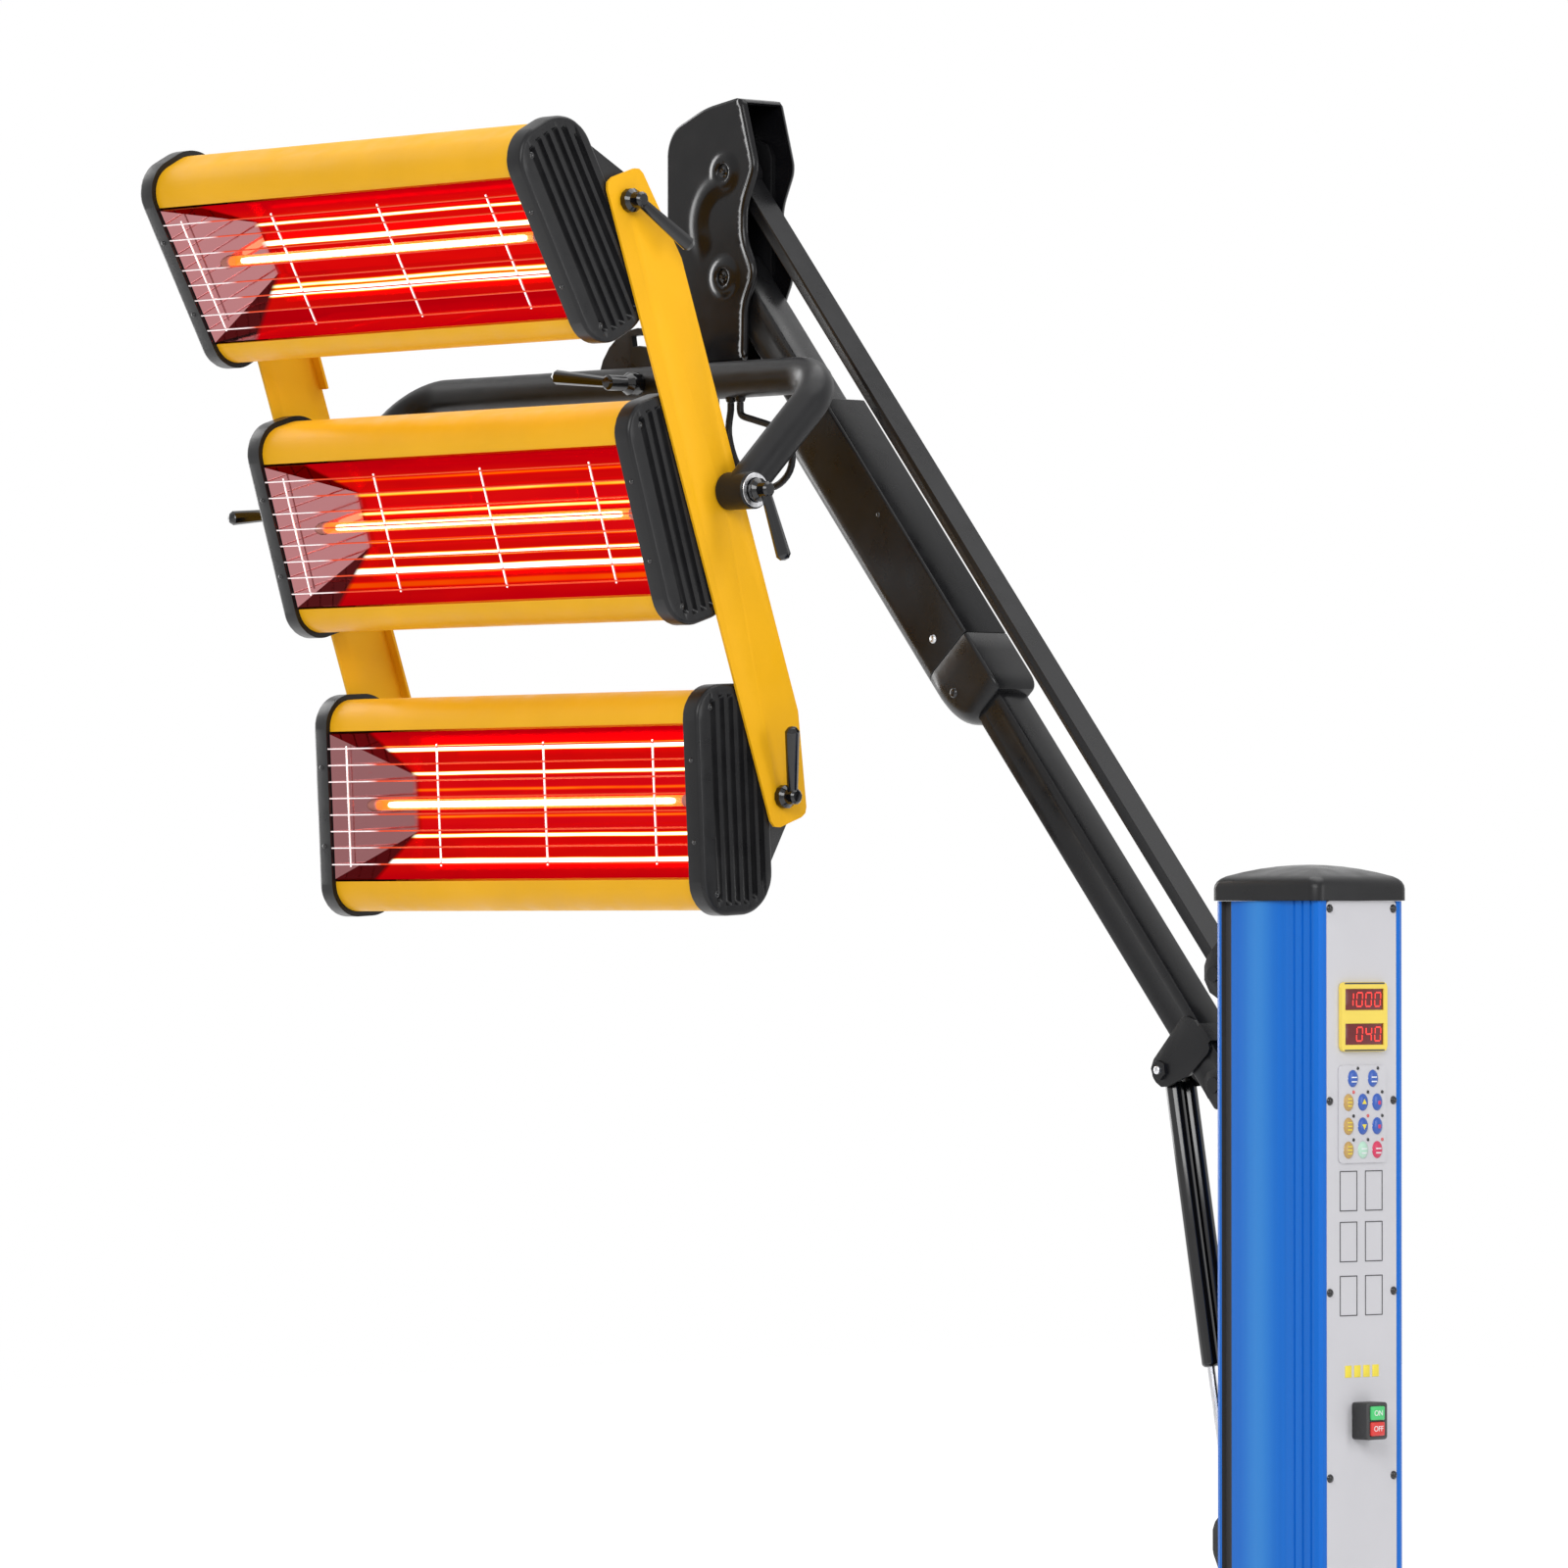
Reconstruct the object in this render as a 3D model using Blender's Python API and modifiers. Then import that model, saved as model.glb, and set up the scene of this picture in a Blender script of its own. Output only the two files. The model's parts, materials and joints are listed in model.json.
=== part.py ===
"""Infrared paint curing lamp on a wheeled stand, metres, +Z up.

The arm reaches out along -X, the three cassettes shine along -Y, and the control panel faces +X.
Each moving piece hangs on an empty that stands on its joint's axis.
"""

import math

import bmesh
import bpy
from mathutils import Euler, Matrix, Vector

# Gaps and facets
FIT_GAP = 0.0003
RUN_GAP = 0.0012
PIN_GAP = 0.0004
OVERRUN = 0.004
ROUND_SIDES = 12
BOSS_SIDES = 16
WHEEL_SIDES = 16
LEVER_SIDES = 8
WIRE_SIDES = 4
ARC_STEPS = 2

# Casters
WHEEL_RADIUS = 0.0375
WHEEL_WIDTH = 0.024
WHEEL_CROWN = 0.003
AXLE_SIDES = 8
AXLE_RADIUS = 0.005
CASTER_TRAIL = 0.028
CASTER_HEIGHT = 0.098
FORK_SHEET = 0.003
FORK_PLATE_RADIUS = 0.030
FORK_CHEEK_RADIUS = 0.013
SWIVEL_RACE_RADIUS = 0.022
SWIVEL_RACE_HEIGHT = 0.007

# Base
LEG_FRONT = 0.800
LEG_REAR = 0.190
LEG_OFFSET = 0.300
LEG_WIDTH = 0.060
BASE_TUBE_HEIGHT = 0.035
BASE_WALL = 0.003
BEAM_DEPTH = 0.120
VENT_RADIUS = 0.006
FOOT_PLATE_SIDE = 0.190
FOOT_PLATE_THICKNESS = 0.008

# Column
COLUMN_DEPTH = 0.139
COLUMN_WIDTH = 0.120
COLUMN_WALL = 0.008
COLUMN_CORNER = 0.006
COLUMN_CROWN = 0.0025
CHANNEL_WIDTH = 0.013
CHANNEL_DEPTH = 0.006
CHANNEL_FROM_REAR = 0.009
GROOVE_WIDTH = 0.003
GROOVE_DEPTH = 0.0025
GROOVE_PITCH = 0.011
GROOVE_COUNT = 3
GROOVE_FROM_FRONT = 0.0105
CAP_HEIGHT = 0.035
CAP_OVERHANG = 0.003
CAP_DOME_RADIUS = 0.290

# Control panel
PANEL_WIDTH = 0.098
PANEL_THICKNESS = 0.004
PANEL_CORNER = 0.004
BEZEL_WIDTH = 0.064
BEZEL_HEIGHT = 0.067
BEZEL_THICKNESS = 0.004
BEZEL_CORNER = 0.005
BEZEL_BELOW_TOP = 0.112
WINDOW_WIDTH = 0.054
WINDOW_HEIGHT = 0.021
WINDOW_SPACING = 0.0335
WINDOW_RECESS = 0.0015
KEYPAD_WIDTH = 0.066
KEYPAD_HEIGHT = 0.094
KEYPAD_SHEET = 0.0012
KEYPAD_BELOW_TOP = 0.206
KEY_WIDTH = 0.0165
KEY_HEIGHT = 0.0137
KEY_RISE = 0.0022
KEY_PITCH = 0.020
KEY_ROW_PITCH = 0.023
SWITCH_WIDTH = 0.029
SWITCH_HEIGHT = 0.036
SWITCH_DEPTH = 0.020
SWITCH_CORNER = 0.003
SWITCH_BELOW_TOP = 0.5015
BUTTON_WIDTH = 0.019
BUTTON_HEIGHT = 0.0135
BUTTON_PROUD = 0.002
BUTTON_TRAVEL = 0.0025
BUTTON_LENGTH = 0.012
BUTTON_CORNER = 0.002

# Rear bracket on the column
BRACKET_SHEET = 0.004
BRACKET_PLATE = 0.005
BRACKET_FLANGE = 0.018
EAR_INSIDE = 0.0206
PIVOT_RADIUS = 0.008
ARM_PIVOT_BEHIND = 0.105
ARM_PIVOT_HEIGHT = 1.142
LINK_RISE = 0.1086
BRACKET_ABOVE_LINK = 0.0394
BRACKET_TOP = ARM_PIVOT_HEIGHT + LINK_RISE + BRACKET_ABOVE_LINK
COLUMN_ABOVE_BRACKET = 0.032
COLUMN_TOP = BRACKET_TOP + COLUMN_ABOVE_BRACKET
ARM_EAR_RADIUS = 0.016
LINK_EAR_RADIUS = 0.014
SPRING_FOOT_BEHIND = 0.094
SPRING_FOOT_BELOW_ARM = 0.442
SPRING_FOOT_HEIGHT = ARM_PIVOT_HEIGHT - SPRING_FOOT_BELOW_ARM
BRACKET_BELOW_FOOT = 0.045
BRACKET_BOTTOM = SPRING_FOOT_HEIGHT - BRACKET_BELOW_FOOT
SPRING_PIN_RADIUS = 0.005

# Arm, link and housing
ARM_ELEVATION = math.radians(49.5)
ARM_LENGTH = 1.087
ARM_SIDE = 0.040
ARM_WALL = 0.003
ARM_END = 0.016
LINK_WIDTH = 0.030
LINK_THICKNESS = 0.012
LINK_END = 0.015
HOUSING_BEFORE_HEAD = 0.197
HOUSING_LENGTH = 0.322
HOUSING_END = ARM_LENGTH - HOUSING_BEFORE_HEAD
HOUSING_START = HOUSING_END - HOUSING_LENGTH
HOUSING_HALF_WIDTH = 0.030
HOUSING_BELOW = 0.051
HOUSING_ABOVE = 0.031
HOUSING_ROUND = 0.024
HOUSING_EDGE = 0.007
TAPER_LENGTH = 0.073
TAPER_START = HOUSING_START - FIT_GAP - TAPER_LENGTH
TAPER_LIP = 0.024

# Gas springs and their bracket on the arm
SPRING_TOP_ALONG = 0.0581
SPRING_TOP_BELOW = 0.0464
SADDLE_SHEET = 0.004
SADDLE_EAR_RADIUS = 0.014
SADDLE_FRONT = 0.066
SADDLE_REAR = 0.030
SPRING_RADIUS = 0.009
SPRING_SPACING = 0.019
SPRING_BODY_LENGTH = 0.285
SPRING_BORE_DEPTH = 0.262
SPRING_NECK_RADIUS = 0.005
SPRING_NECK_LENGTH = 0.010
ROD_RADIUS = 0.004
ROD_EYE_RADIUS = 0.0085
ROD_INSIDE = 0.110
STUB_HEAD_RADIUS = 0.010
STUB_HEAD_HEIGHT = 0.005

# Head
HEAD_SHEET = 0.003
HEAD_PLATE_INSIDE = 0.0205
COVER_INSIDE = 0.0238
COVER_THICKNESS = 0.003
COVER_LIP_RADIUS = 0.0025
HEAD_FRONT = 0.0885
HEAD_BLOCK_DEPTH = 0.036
HEAD_BLOCK_BELOW = 0.080
HEAD_BLOCK_ABOVE = 0.145
BOSS_RECESS_RADIUS = 0.008
BOSS_RECESS_DEPTH = 0.004
BOSS_RADIUS = 0.023
BOSS_TOP_RADIUS = 0.016
BOSS_HEIGHT = 0.003
EMBOSS_RADIUS = 0.067
EMBOSS_WIDTH = 0.028
EMBOSS_HEIGHT = 0.002
EMBOSS_RISE = 0.052
EMBOSS_START = math.radians(98)
EMBOSS_END = math.radians(208)
CROWN_DROP = 0.030
COVER_BACK = 0.035
COVER_WAIST = 0.0335
COVER_BULGE = 0.0515
COVER_ROUND = 0.030
COVER_ABOVE_LINK = 0.076
COVER_TOP = LINK_RISE + COVER_ABOVE_LINK

# Swivel and yoke
SWIVEL_AHEAD = 0.0595
SWIVEL_DROP = 0.1144
TURNTABLE_RADIUS = 0.022
TURNTABLE_HEIGHT = 0.012
SWIVEL_ARM_WIDTH = 0.036
SWIVEL_ARM_HEIGHT = 0.030
FLANGE_RADIUS = 0.062
FLANGE_THICKNESS = 0.008
SLOT_RADIUS = 0.049
SLOT_STEPS = 14
SLOT_WIDTH = 0.011
SLOT_HALF_ANGLE = math.radians(100)
YOKE_FORWARD = 0.118
YOKE_RADIUS = 0.019
YOKE_BEND = 0.050
YOKE_PLATE_THICKNESS = 0.005
YOKE_PLATE_WIDTH = 0.150
YOKE_PLATE_HEIGHT = 0.034
LOCK_STUD_RADIUS = 0.005
TILT_FORWARD = 0.243
TILT_DROP = 0.2364
YOKE_BOSS_RADIUS = 0.019
YOKE_BOSS_LENGTH = 0.039

# Lamp frame
BAR_CLEARANCE = 0.001
BAR_SHEET = 0.003
BAR_FRONT = 0.054
BAR_REAR = 0.018
BAR_BEYOND_PIVOT = 0.028
BAR_CORNER = 0.010
BAR_END_REAR = 0.005
BAR_CHAMFER_LENGTH = 0.102
BAR_FLANGE = 0.011
BAR_FLANGE_LENGTH = 0.105
CASSETTE_FORWARD = 0.031
CASSETTE_GAP = 0.080
FRAME_TILT = math.radians(19.5)
CASSETTE_TILTS = {
    "top": math.radians(29.0),
    "middle": math.radians(17.5),
    "bottom": math.radians(3.0),
}

# Cassette
OPENING_LENGTH = 0.550
OPENING_HEIGHT = 0.152
CASSETTE_FRONT = 0.104
CASSETTE_BACK = 0.018
SHELL_HALF_HEIGHT = 0.1105
SHELL_CORNER = 0.038
SHELL_SHEET = 0.0022
CAP_THICKNESS = 0.0207
CAP_STEP = 0.005
SHELL_INSET = 0.0005
CAP_HALF_HEIGHT = SHELL_HALF_HEIGHT + CAP_STEP + SHELL_INSET
RIB_WIDTH = 0.005
RIB_PITCH = 0.012
RIB_COUNT = 7
RIB_HEIGHT = 0.006
RIB_INSET = 0.012
RIB_SHIFT = 0.004
SHELL_FRONT_CORNER_SHARE = 0.92
CORNER_STEPS = 3
LUG_RADIUS = 0.028
LUG_ROOT = 0.085
STUD_RADIUS = 0.005
MIDDLE_STUD_RADIUS = 0.008
COLLAR_WALL = 0.004
BOLT_HEAD_RADIUS = 0.010
BOLT_HEAD_HEIGHT = 0.006
TROUGH_END_REACH = 0.065
TROUGH_LENGTH = OPENING_LENGTH - 2 * TROUGH_END_REACH
TROUGH_BACK_HEIGHT = 0.060
TROUGH_DEPTH = 0.060
TROUGH_SHEET = 0.0015
EMITTER_RADIUS = 0.0065
EMITTER_DEPTH = 0.030
EMITTER_END_BEHIND = 0.0105
EMITTER_IN_REACH = TROUGH_END_REACH * EMITTER_DEPTH / TROUGH_DEPTH
EMITTER_LENGTH = OPENING_LENGTH - 2 * EMITTER_IN_REACH + 2 * EMITTER_END_BEHIND
WIRE_RADIUS = 0.0014
WIRE_PITCH = 0.0172
WIRE_COUNT = 8
CROSS_WIRE_COUNT = 5
GUARD_PROUD = 0.004
BAR_INSIDE = OPENING_LENGTH / 2 + FIT_GAP + CAP_THICKNESS + BAR_CLEARANCE
CASSETTE_SPACING = 2 * CAP_HALF_HEIGHT + CASSETTE_GAP
BAR_HALF_LENGTH = CASSETTE_SPACING + BAR_BEYOND_PIVOT
BAR_CHAMFER_START = BAR_HALF_LENGTH - BAR_CHAMFER_LENGTH

# Clamp levers
LEVER_HUB_RADIUS = 0.012
LEVER_NECK_RADIUS = 0.008
LEVER_HUB_LENGTH = 0.022
LEVER_TIP_RADIUS = 0.0075
LEVER_ROOT_RADIUS = 0.0055
LEVER_LENGTH = 0.074
LEVER_RAKE = math.radians(14)
TALL_HUB_LENGTH = 0.044

LEVER_AIM_SHARES = {
    "yoke_lock_lever": (-1, 0, 0.12),
    "yoke_lever_right": (0, 0.15, -1),
    "yoke_lever_left": (0, -1, -0.1),
    "top_cassette_lever": (0, 0.6, -1),
    "bottom_cassette_lever": (0, 0.1, 1),
}

# Lead under the yoke's web, its route in X and Z from the middle of the web
LEAD_RADIUS = 0.0036
LEAD_END_DROP = 0.0072
LEAD_ENDS = (0.1690, 0.1830)
LEAD_POINTS = (
    (0.1660, -0.0560),
    (0.1790, -0.0870),
    (0.2060, -0.1080),
    (0.2350, -0.1110),
    (0.2570, -0.0960),
    (0.2590, -0.0720),
    (0.2360, -0.0520),
    (0.2070, -0.0430),
    (0.1870, -0.0375),
)
GLAND_RADIUS = 0.0060
GLAND_NOSE_RADIUS = 0.0046
GLAND_LENGTH = 0.0040

PAINT_YELLOW = (0.93, 0.52, 0.035)
PAINT_BLUE = (0.0, 0.13, 0.58)
BLACK = (0.02, 0.02, 0.022)


def clear_scene():
    for old in list(bpy.data.objects):
        bpy.data.objects.remove(old)


clear_scene()
PARTS = bpy.data.collections.new("infrared_curing_lamp")
CUTTERS = bpy.data.collections.new("cutters")
bpy.context.scene.collection.children.link(PARTS)
bpy.context.scene.collection.children.link(CUTTERS)


def material(name, colour, roughness, metallic=0.0):
    made = bpy.data.materials.new(name)
    made.use_nodes = True
    shader = made.node_tree.nodes["Principled BSDF"]
    shader.inputs["Base Color"].default_value = (*colour, 1.0)
    shader.inputs["Roughness"].default_value = roughness
    shader.inputs["Metallic"].default_value = metallic
    return made


def joint_empty(name, parent, place, turn=(0.0, 0.0, 0.0)):
    """An empty on a joint's axis, which the moving pieces hang on."""
    marker = bpy.data.objects.new(name, None)
    PARTS.objects.link(marker)
    marker.parent = parent
    marker.location = place
    marker.rotation_euler = turn
    marker.empty_display_size = LUG_RADIUS
    return marker


def moved(place=(0.0, 0.0, 0.0), turn=(0.0, 0.0, 0.0)):
    return Matrix.Translation(Vector(place)) @ Euler(turn).to_matrix().to_4x4()


# A shape drawn in X and Y and extruded along Z turns to stand in the XZ or the YZ plane
STAND_XZ = (math.pi / 2, 0.0, 0.0)
STAND_YZ = (math.pi / 2, 0.0, math.pi / 2)
ALONG_X = (0.0, math.pi / 2, 0.0)
ALONG_MINUS_X = (0.0, -math.pi / 2, 0.0)
ALONG_Y = (-math.pi / 2, 0.0, 0.0)
ALONG_MINUS_Y = (math.pi / 2, 0.0, 0.0)


def new_object(name, mesh, parent, matrix):
    piece = bpy.data.objects.new(name, mesh)
    PARTS.objects.link(piece)
    piece.parent = parent
    piece.matrix_local = matrix
    return piece


def finished(piece, look, smooth_angle=math.radians(35)):
    piece.data.materials.clear()
    piece.data.materials.append(look)
    piece.data.shade_smooth()
    piece.data.set_sharp_from_angle(angle=smooth_angle)
    return piece


def as_mesh(piece):
    """The curve or the modified object as a plain mesh with welded caps."""
    bpy.context.view_layer.update()
    graph = bpy.context.evaluated_depsgraph_get()
    mesh = bpy.data.meshes.new_from_object(piece.evaluated_get(graph))
    mesh.transform(piece.matrix_world)
    bpy.data.objects.remove(piece)
    work = bmesh.new()
    work.from_mesh(mesh)
    bmesh.ops.remove_doubles(work, verts=work.verts, dist=1e-6)
    bmesh.ops.recalc_face_normals(work, faces=work.faces)
    work.to_mesh(mesh)
    work.free()
    return mesh


def box_mesh(size):
    mesh = bpy.data.meshes.new("box")
    work = bmesh.new()
    bmesh.ops.create_cube(work, size=1.0)
    bmesh.ops.scale(work, vec=size, verts=work.verts)
    work.to_mesh(mesh)
    work.free()
    return mesh


def rod_mesh(radius, length, sides=ROUND_SIDES, end_radius=None):
    """A cylinder or cone that stands on the XY plane and rises along +Z."""
    mesh = bpy.data.meshes.new("rod")
    work = bmesh.new()
    bmesh.ops.create_cone(
        work,
        cap_ends=True,
        segments=sides,
        radius1=radius,
        radius2=radius if end_radius is None else end_radius,
        depth=length,
    )
    bmesh.ops.translate(work, vec=(0, 0, length / 2), verts=work.verts)
    work.to_mesh(mesh)
    work.free()
    return mesh


def outline_mesh(outlines, thickness):
    """Flat outlines, the first with the others as holes, extruded evenly both ways along Z."""
    curve = bpy.data.curves.new("outline", "CURVE")
    curve.dimensions = "2D"
    curve.fill_mode = "BOTH"
    curve.extrude = thickness / 2
    for points in outlines:
        spline = curve.splines.new("POLY")
        spline.points.add(len(points) - 1)
        for point, (x, y) in zip(spline.points, points):
            point.co = (x, y, 0.0, 1.0)
        spline.use_cyclic_u = True
    piece = bpy.data.objects.new("outline", curve)
    PARTS.objects.link(piece)
    return as_mesh(piece)


def tube_mesh(points, radius, bevel_resolution=4):
    curve = bpy.data.curves.new("tube", "CURVE")
    curve.dimensions = "3D"
    curve.bevel_depth = radius
    curve.bevel_resolution = bevel_resolution
    curve.use_fill_caps = True
    spline = curve.splines.new("POLY")
    spline.points.add(len(points) - 1)
    for point, place in zip(spline.points, points):
        point.co = (*place, 1.0)
    piece = bpy.data.objects.new("tube", curve)
    PARTS.objects.link(piece)
    return as_mesh(piece)


def turned_mesh(profile, sides=ROUND_SIDES):
    """A profile of (radius, height), from the axis at the top down its outer side, turned about Z."""
    mesh = bpy.data.meshes.new("profile")
    edges = [(i, i + 1) for i in range(len(profile) - 1)]
    mesh.from_pydata([(radius, 0, height) for radius, height in profile], edges, [])
    piece = bpy.data.objects.new("profile", mesh)
    PARTS.objects.link(piece)
    screw = piece.modifiers.new("turn", "SCREW")
    screw.steps = sides
    screw.render_steps = sides
    screw.use_merge_vertices = True
    screw.merge_threshold = 0.00001
    return as_mesh(piece)


def joined_mesh(meshes_and_places):
    """Several separate closed shapes in one mesh, as one cutter or one fused-on pattern."""
    mesh = bpy.data.meshes.new("pattern")
    work = bmesh.new()
    for shape, matrix in meshes_and_places:
        copy = shape.copy()
        copy.transform(matrix)
        work.from_mesh(copy)
        bpy.data.meshes.remove(copy)
    work.to_mesh(mesh)
    work.free()
    return mesh


def helper(mesh, parent, matrix):
    tool = bpy.data.objects.new("tool", mesh)
    CUTTERS.objects.link(tool)
    tool.parent = parent
    tool.matrix_local = matrix
    tool.hide_render = True
    tool.display_type = "WIRE"
    return tool


def cut(piece, mesh, matrix):
    boolean = piece.modifiers.new("cut", "BOOLEAN")
    boolean.operation = "DIFFERENCE"
    boolean.object = helper(mesh, piece.parent, matrix)


def trim(piece, mesh, matrix):
    """Keeps only what lies inside the other shape."""
    boolean = piece.modifiers.new("trim", "BOOLEAN")
    boolean.operation = "INTERSECT"
    boolean.object = helper(mesh, piece.parent, matrix)


def fuse(piece, mesh, matrix):
    boolean = piece.modifiers.new("fuse", "BOOLEAN")
    boolean.operation = "UNION"
    boolean.object = helper(mesh, piece.parent, matrix)


def round_edges(piece, width, segments=2, angle=math.radians(40)):
    bevel = piece.modifiers.new("round", "BEVEL")
    bevel.width = width
    bevel.segments = segments
    bevel.limit_method = "ANGLE"
    bevel.angle_limit = angle


def arc(centre, radius, start, end, steps=ARC_STEPS):
    """Points of an arc, both ends included."""
    found = []
    for i in range(steps + 1):
        angle = start + (end - start) * i / steps
        x = centre[0] + radius * math.cos(angle)
        y = centre[1] + radius * math.sin(angle)
        found.append((x, y))
    return found


def rounded_corners(corners, steps=ARC_STEPS):
    """An outline with each (x, y, radius) corner rounded, whichever way it turns."""
    outline = []
    count = len(corners)
    for i in range(count):
        here = Vector(corners[i][:2])
        radius = corners[i][2]
        if radius == 0:
            outline.append(tuple(here))
            continue
        back = (Vector(corners[i - 1][:2]) - here).normalized()
        ahead = (Vector(corners[(i + 1) % count][:2]) - here).normalized()
        half = back.angle(ahead) / 2
        reach = radius / math.tan(half)
        middle = here + (back + ahead).normalized() * (radius / math.sin(half))
        first = here + back * reach - middle
        last = here + ahead * reach - middle
        turn = math.atan2(first.x * last.y - first.y * last.x, first.dot(last))
        start = math.atan2(first.y, first.x)
        outline += arc(middle, radius, start, start + turn, steps)
    return outline


def rounded_box(width, height, radius, centre=(0.0, 0.0), steps=ARC_STEPS):
    x, y = centre
    corners = [
        (x + width / 2, y - height / 2, radius),
        (x + width / 2, y + height / 2, radius),
        (x - width / 2, y + height / 2, radius),
        (x - width / 2, y - height / 2, radius),
    ]
    return rounded_corners(corners, steps)


def prism(section, start, end):
    """A section drawn in Y and Z, pushed along X from start to end."""
    mesh = outline_mesh([section], end - start)
    mesh.transform(moved(((start + end) / 2, 0, 0), STAND_YZ))
    return mesh


def filleted_route(points, radius, steps=6):
    """A route in space with each inner corner turned into an arc."""
    route = [Vector(points[0])]
    for i in range(1, len(points) - 1):
        here = Vector(points[i])
        back = (Vector(points[i - 1]) - here).normalized()
        ahead = (Vector(points[i + 1]) - here).normalized()
        half = back.angle(ahead) / 2
        reach = radius / math.tan(half)
        centre = here + (back + ahead).normalized() * (radius / math.sin(half))
        first = here + back * reach - centre
        last = here + ahead * reach - centre
        whole = first.angle(last)
        for k in range(steps + 1):
            share = k / steps
            weight_a = math.sin((1 - share) * whole) / math.sin(whole)
            weight_b = math.sin(share * whole) / math.sin(whole)
            route.append(centre + first * weight_a + last * weight_b)
    route.append(Vector(points[-1]))
    return [tuple(point) for point in route]


def smooth_route(points, steps=2):
    """A route in space: straight in its first and last span, smooth through all the points between."""
    places = [Vector(point) for point in points]
    route = [points[0]]
    for i in range(1, len(places) - 2):
        before, here, ahead, after = places[i - 1:i + 3]
        for k in range(steps):
            t = k / steps
            turn = (ahead - before) * t
            bend = (2 * before - 5 * here + 4 * ahead - after) * t ** 2
            twist = (3 * here - before - 3 * ahead + after) * t ** 3
            route.append(tuple(here + (turn + bend + twist) / 2))
    return route + [points[-2], points[-1]]


# Looks
LOOK_STEEL_BLACK = material("black painted steel", BLACK, 0.45)
LOOK_PLASTIC_BLACK = material("black plastic", BLACK, 0.55)
LOOK_YELLOW = material("yellow paint", PAINT_YELLOW, 0.35)
LOOK_BLUE = material("blue coating", PAINT_BLUE, 0.35)
LOOK_PANEL = material("pale panel", (0.72, 0.72, 0.80), 0.4)
LOOK_BEZEL = material("yellow display surround", (0.9, 0.6, 0.05), 0.4)
LOOK_KEYS = material("membrane keys", (0.75, 0.75, 0.78), 0.4)
LOOK_GREEN = material("green button", (0.02, 0.45, 0.08), 0.35)
LOOK_RED = material("red button", (0.6, 0.02, 0.02), 0.35)
LOOK_ARM = material("dark satin grey", (0.07, 0.07, 0.075), 0.4)
LOOK_STEEL = material("bright steel", (0.6, 0.6, 0.62), 0.3, 1.0)
LOOK_TYRE = material("grey tyre", (0.05, 0.05, 0.05), 0.8)
LOOK_MIRROR = material("mirror", (0.9, 0.85, 0.85), 0.08, 1.0)
LOOK_QUARTZ = material("glowing quartz", (1.0, 0.25, 0.05), 0.2)
LOOK_LEAD = material("lead", BLACK, 0.6)

# The origin is on the floor at the centre of the whole lamp's footprint
HEAD_BEHIND = ARM_PIVOT_BEHIND + ARM_LENGTH * math.cos(ARM_ELEVATION)
HEAD_HEIGHT = ARM_PIVOT_HEIGHT + ARM_LENGTH * math.sin(ARM_ELEVATION)
SWIVEL_BEHIND = HEAD_BEHIND + SWIVEL_AHEAD
BAR_OUTSIDE = BAR_INSIDE + BAR_SHEET
YOKE_HALF_WIDTH = BAR_OUTSIDE + RUN_GAP + YOKE_RADIUS
YOKE_OUTSIDE = BAR_OUTSIDE + RUN_GAP + YOKE_BOSS_LENGTH
FARTHEST_LEFT = SWIVEL_BEHIND + YOKE_OUTSIDE + TALL_HUB_LENGTH + LEVER_LENGTH * math.sin(LEVER_RAKE)
FARTHEST_RIGHT = LEG_REAR - FORK_PLATE_RADIUS + CASTER_TRAIL + WHEEL_RADIUS
TOP_LEAN = CASSETTE_TILTS["top"]
TOP_PIVOT_FRONT = CASSETTE_FORWARD * math.cos(FRAME_TILT) + CASSETTE_SPACING * math.sin(FRAME_TILT)
SHELL_LIP = OPENING_HEIGHT / 2 + TROUGH_SHEET + 2 * FIT_GAP
SHELL_FRONT_CORNER = SHELL_FRONT_CORNER_SHARE * (SHELL_HALF_HEIGHT - SHELL_LIP)
CAP_FRONT_CORNER = SHELL_FRONT_CORNER + CAP_STEP
CAP_BACK_CORNER = SHELL_CORNER + CAP_STEP
TOP_CAP_FRONT = (CASSETTE_FRONT + CAP_STEP - CAP_FRONT_CORNER) * math.cos(TOP_LEAN)
TOP_CAP_FRONT += (CAP_HALF_HEIGHT - CAP_FRONT_CORNER) * math.sin(TOP_LEAN) + CAP_FRONT_CORNER
FARTHEST_FRONT = TILT_FORWARD + TOP_PIVOT_FRONT + TOP_CAP_FRONT
FARTHEST_BACK = LEG_OFFSET + LEG_WIDTH / 2
CENTRE_X = (FARTHEST_RIGHT - FARTHEST_LEFT) / 2
CENTRE_Y = (FARTHEST_BACK - FARTHEST_FRONT) / 2
ROOT = joint_empty("stand", None, (-CENTRE_X, -CENTRE_Y, 0.0))

LEG_BOTTOM = CASTER_HEIGHT + FIT_GAP
BEAM_TOP = LEG_BOTTOM + BASE_TUBE_HEIGHT
COLUMN_BOTTOM = BEAM_TOP + FOOT_PLATE_THICKNESS + FIT_GAP


def hollow_beam(name, size, centre):
    """A closed rectangular tube with one vent hole in its underside."""
    piece = new_object(name, box_mesh(size), ROOT, moved(centre))
    round_edges(piece, BASE_WALL, 1)
    inside = [side - 2 * BASE_WALL for side in size]
    cut(piece, box_mesh(inside), moved(centre))
    vent = (centre[0], centre[1], LEG_BOTTOM - OVERRUN)
    cut(piece, rod_mesh(VENT_RADIUS, BASE_WALL + 2 * OVERRUN), moved(vent))
    return piece


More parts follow.
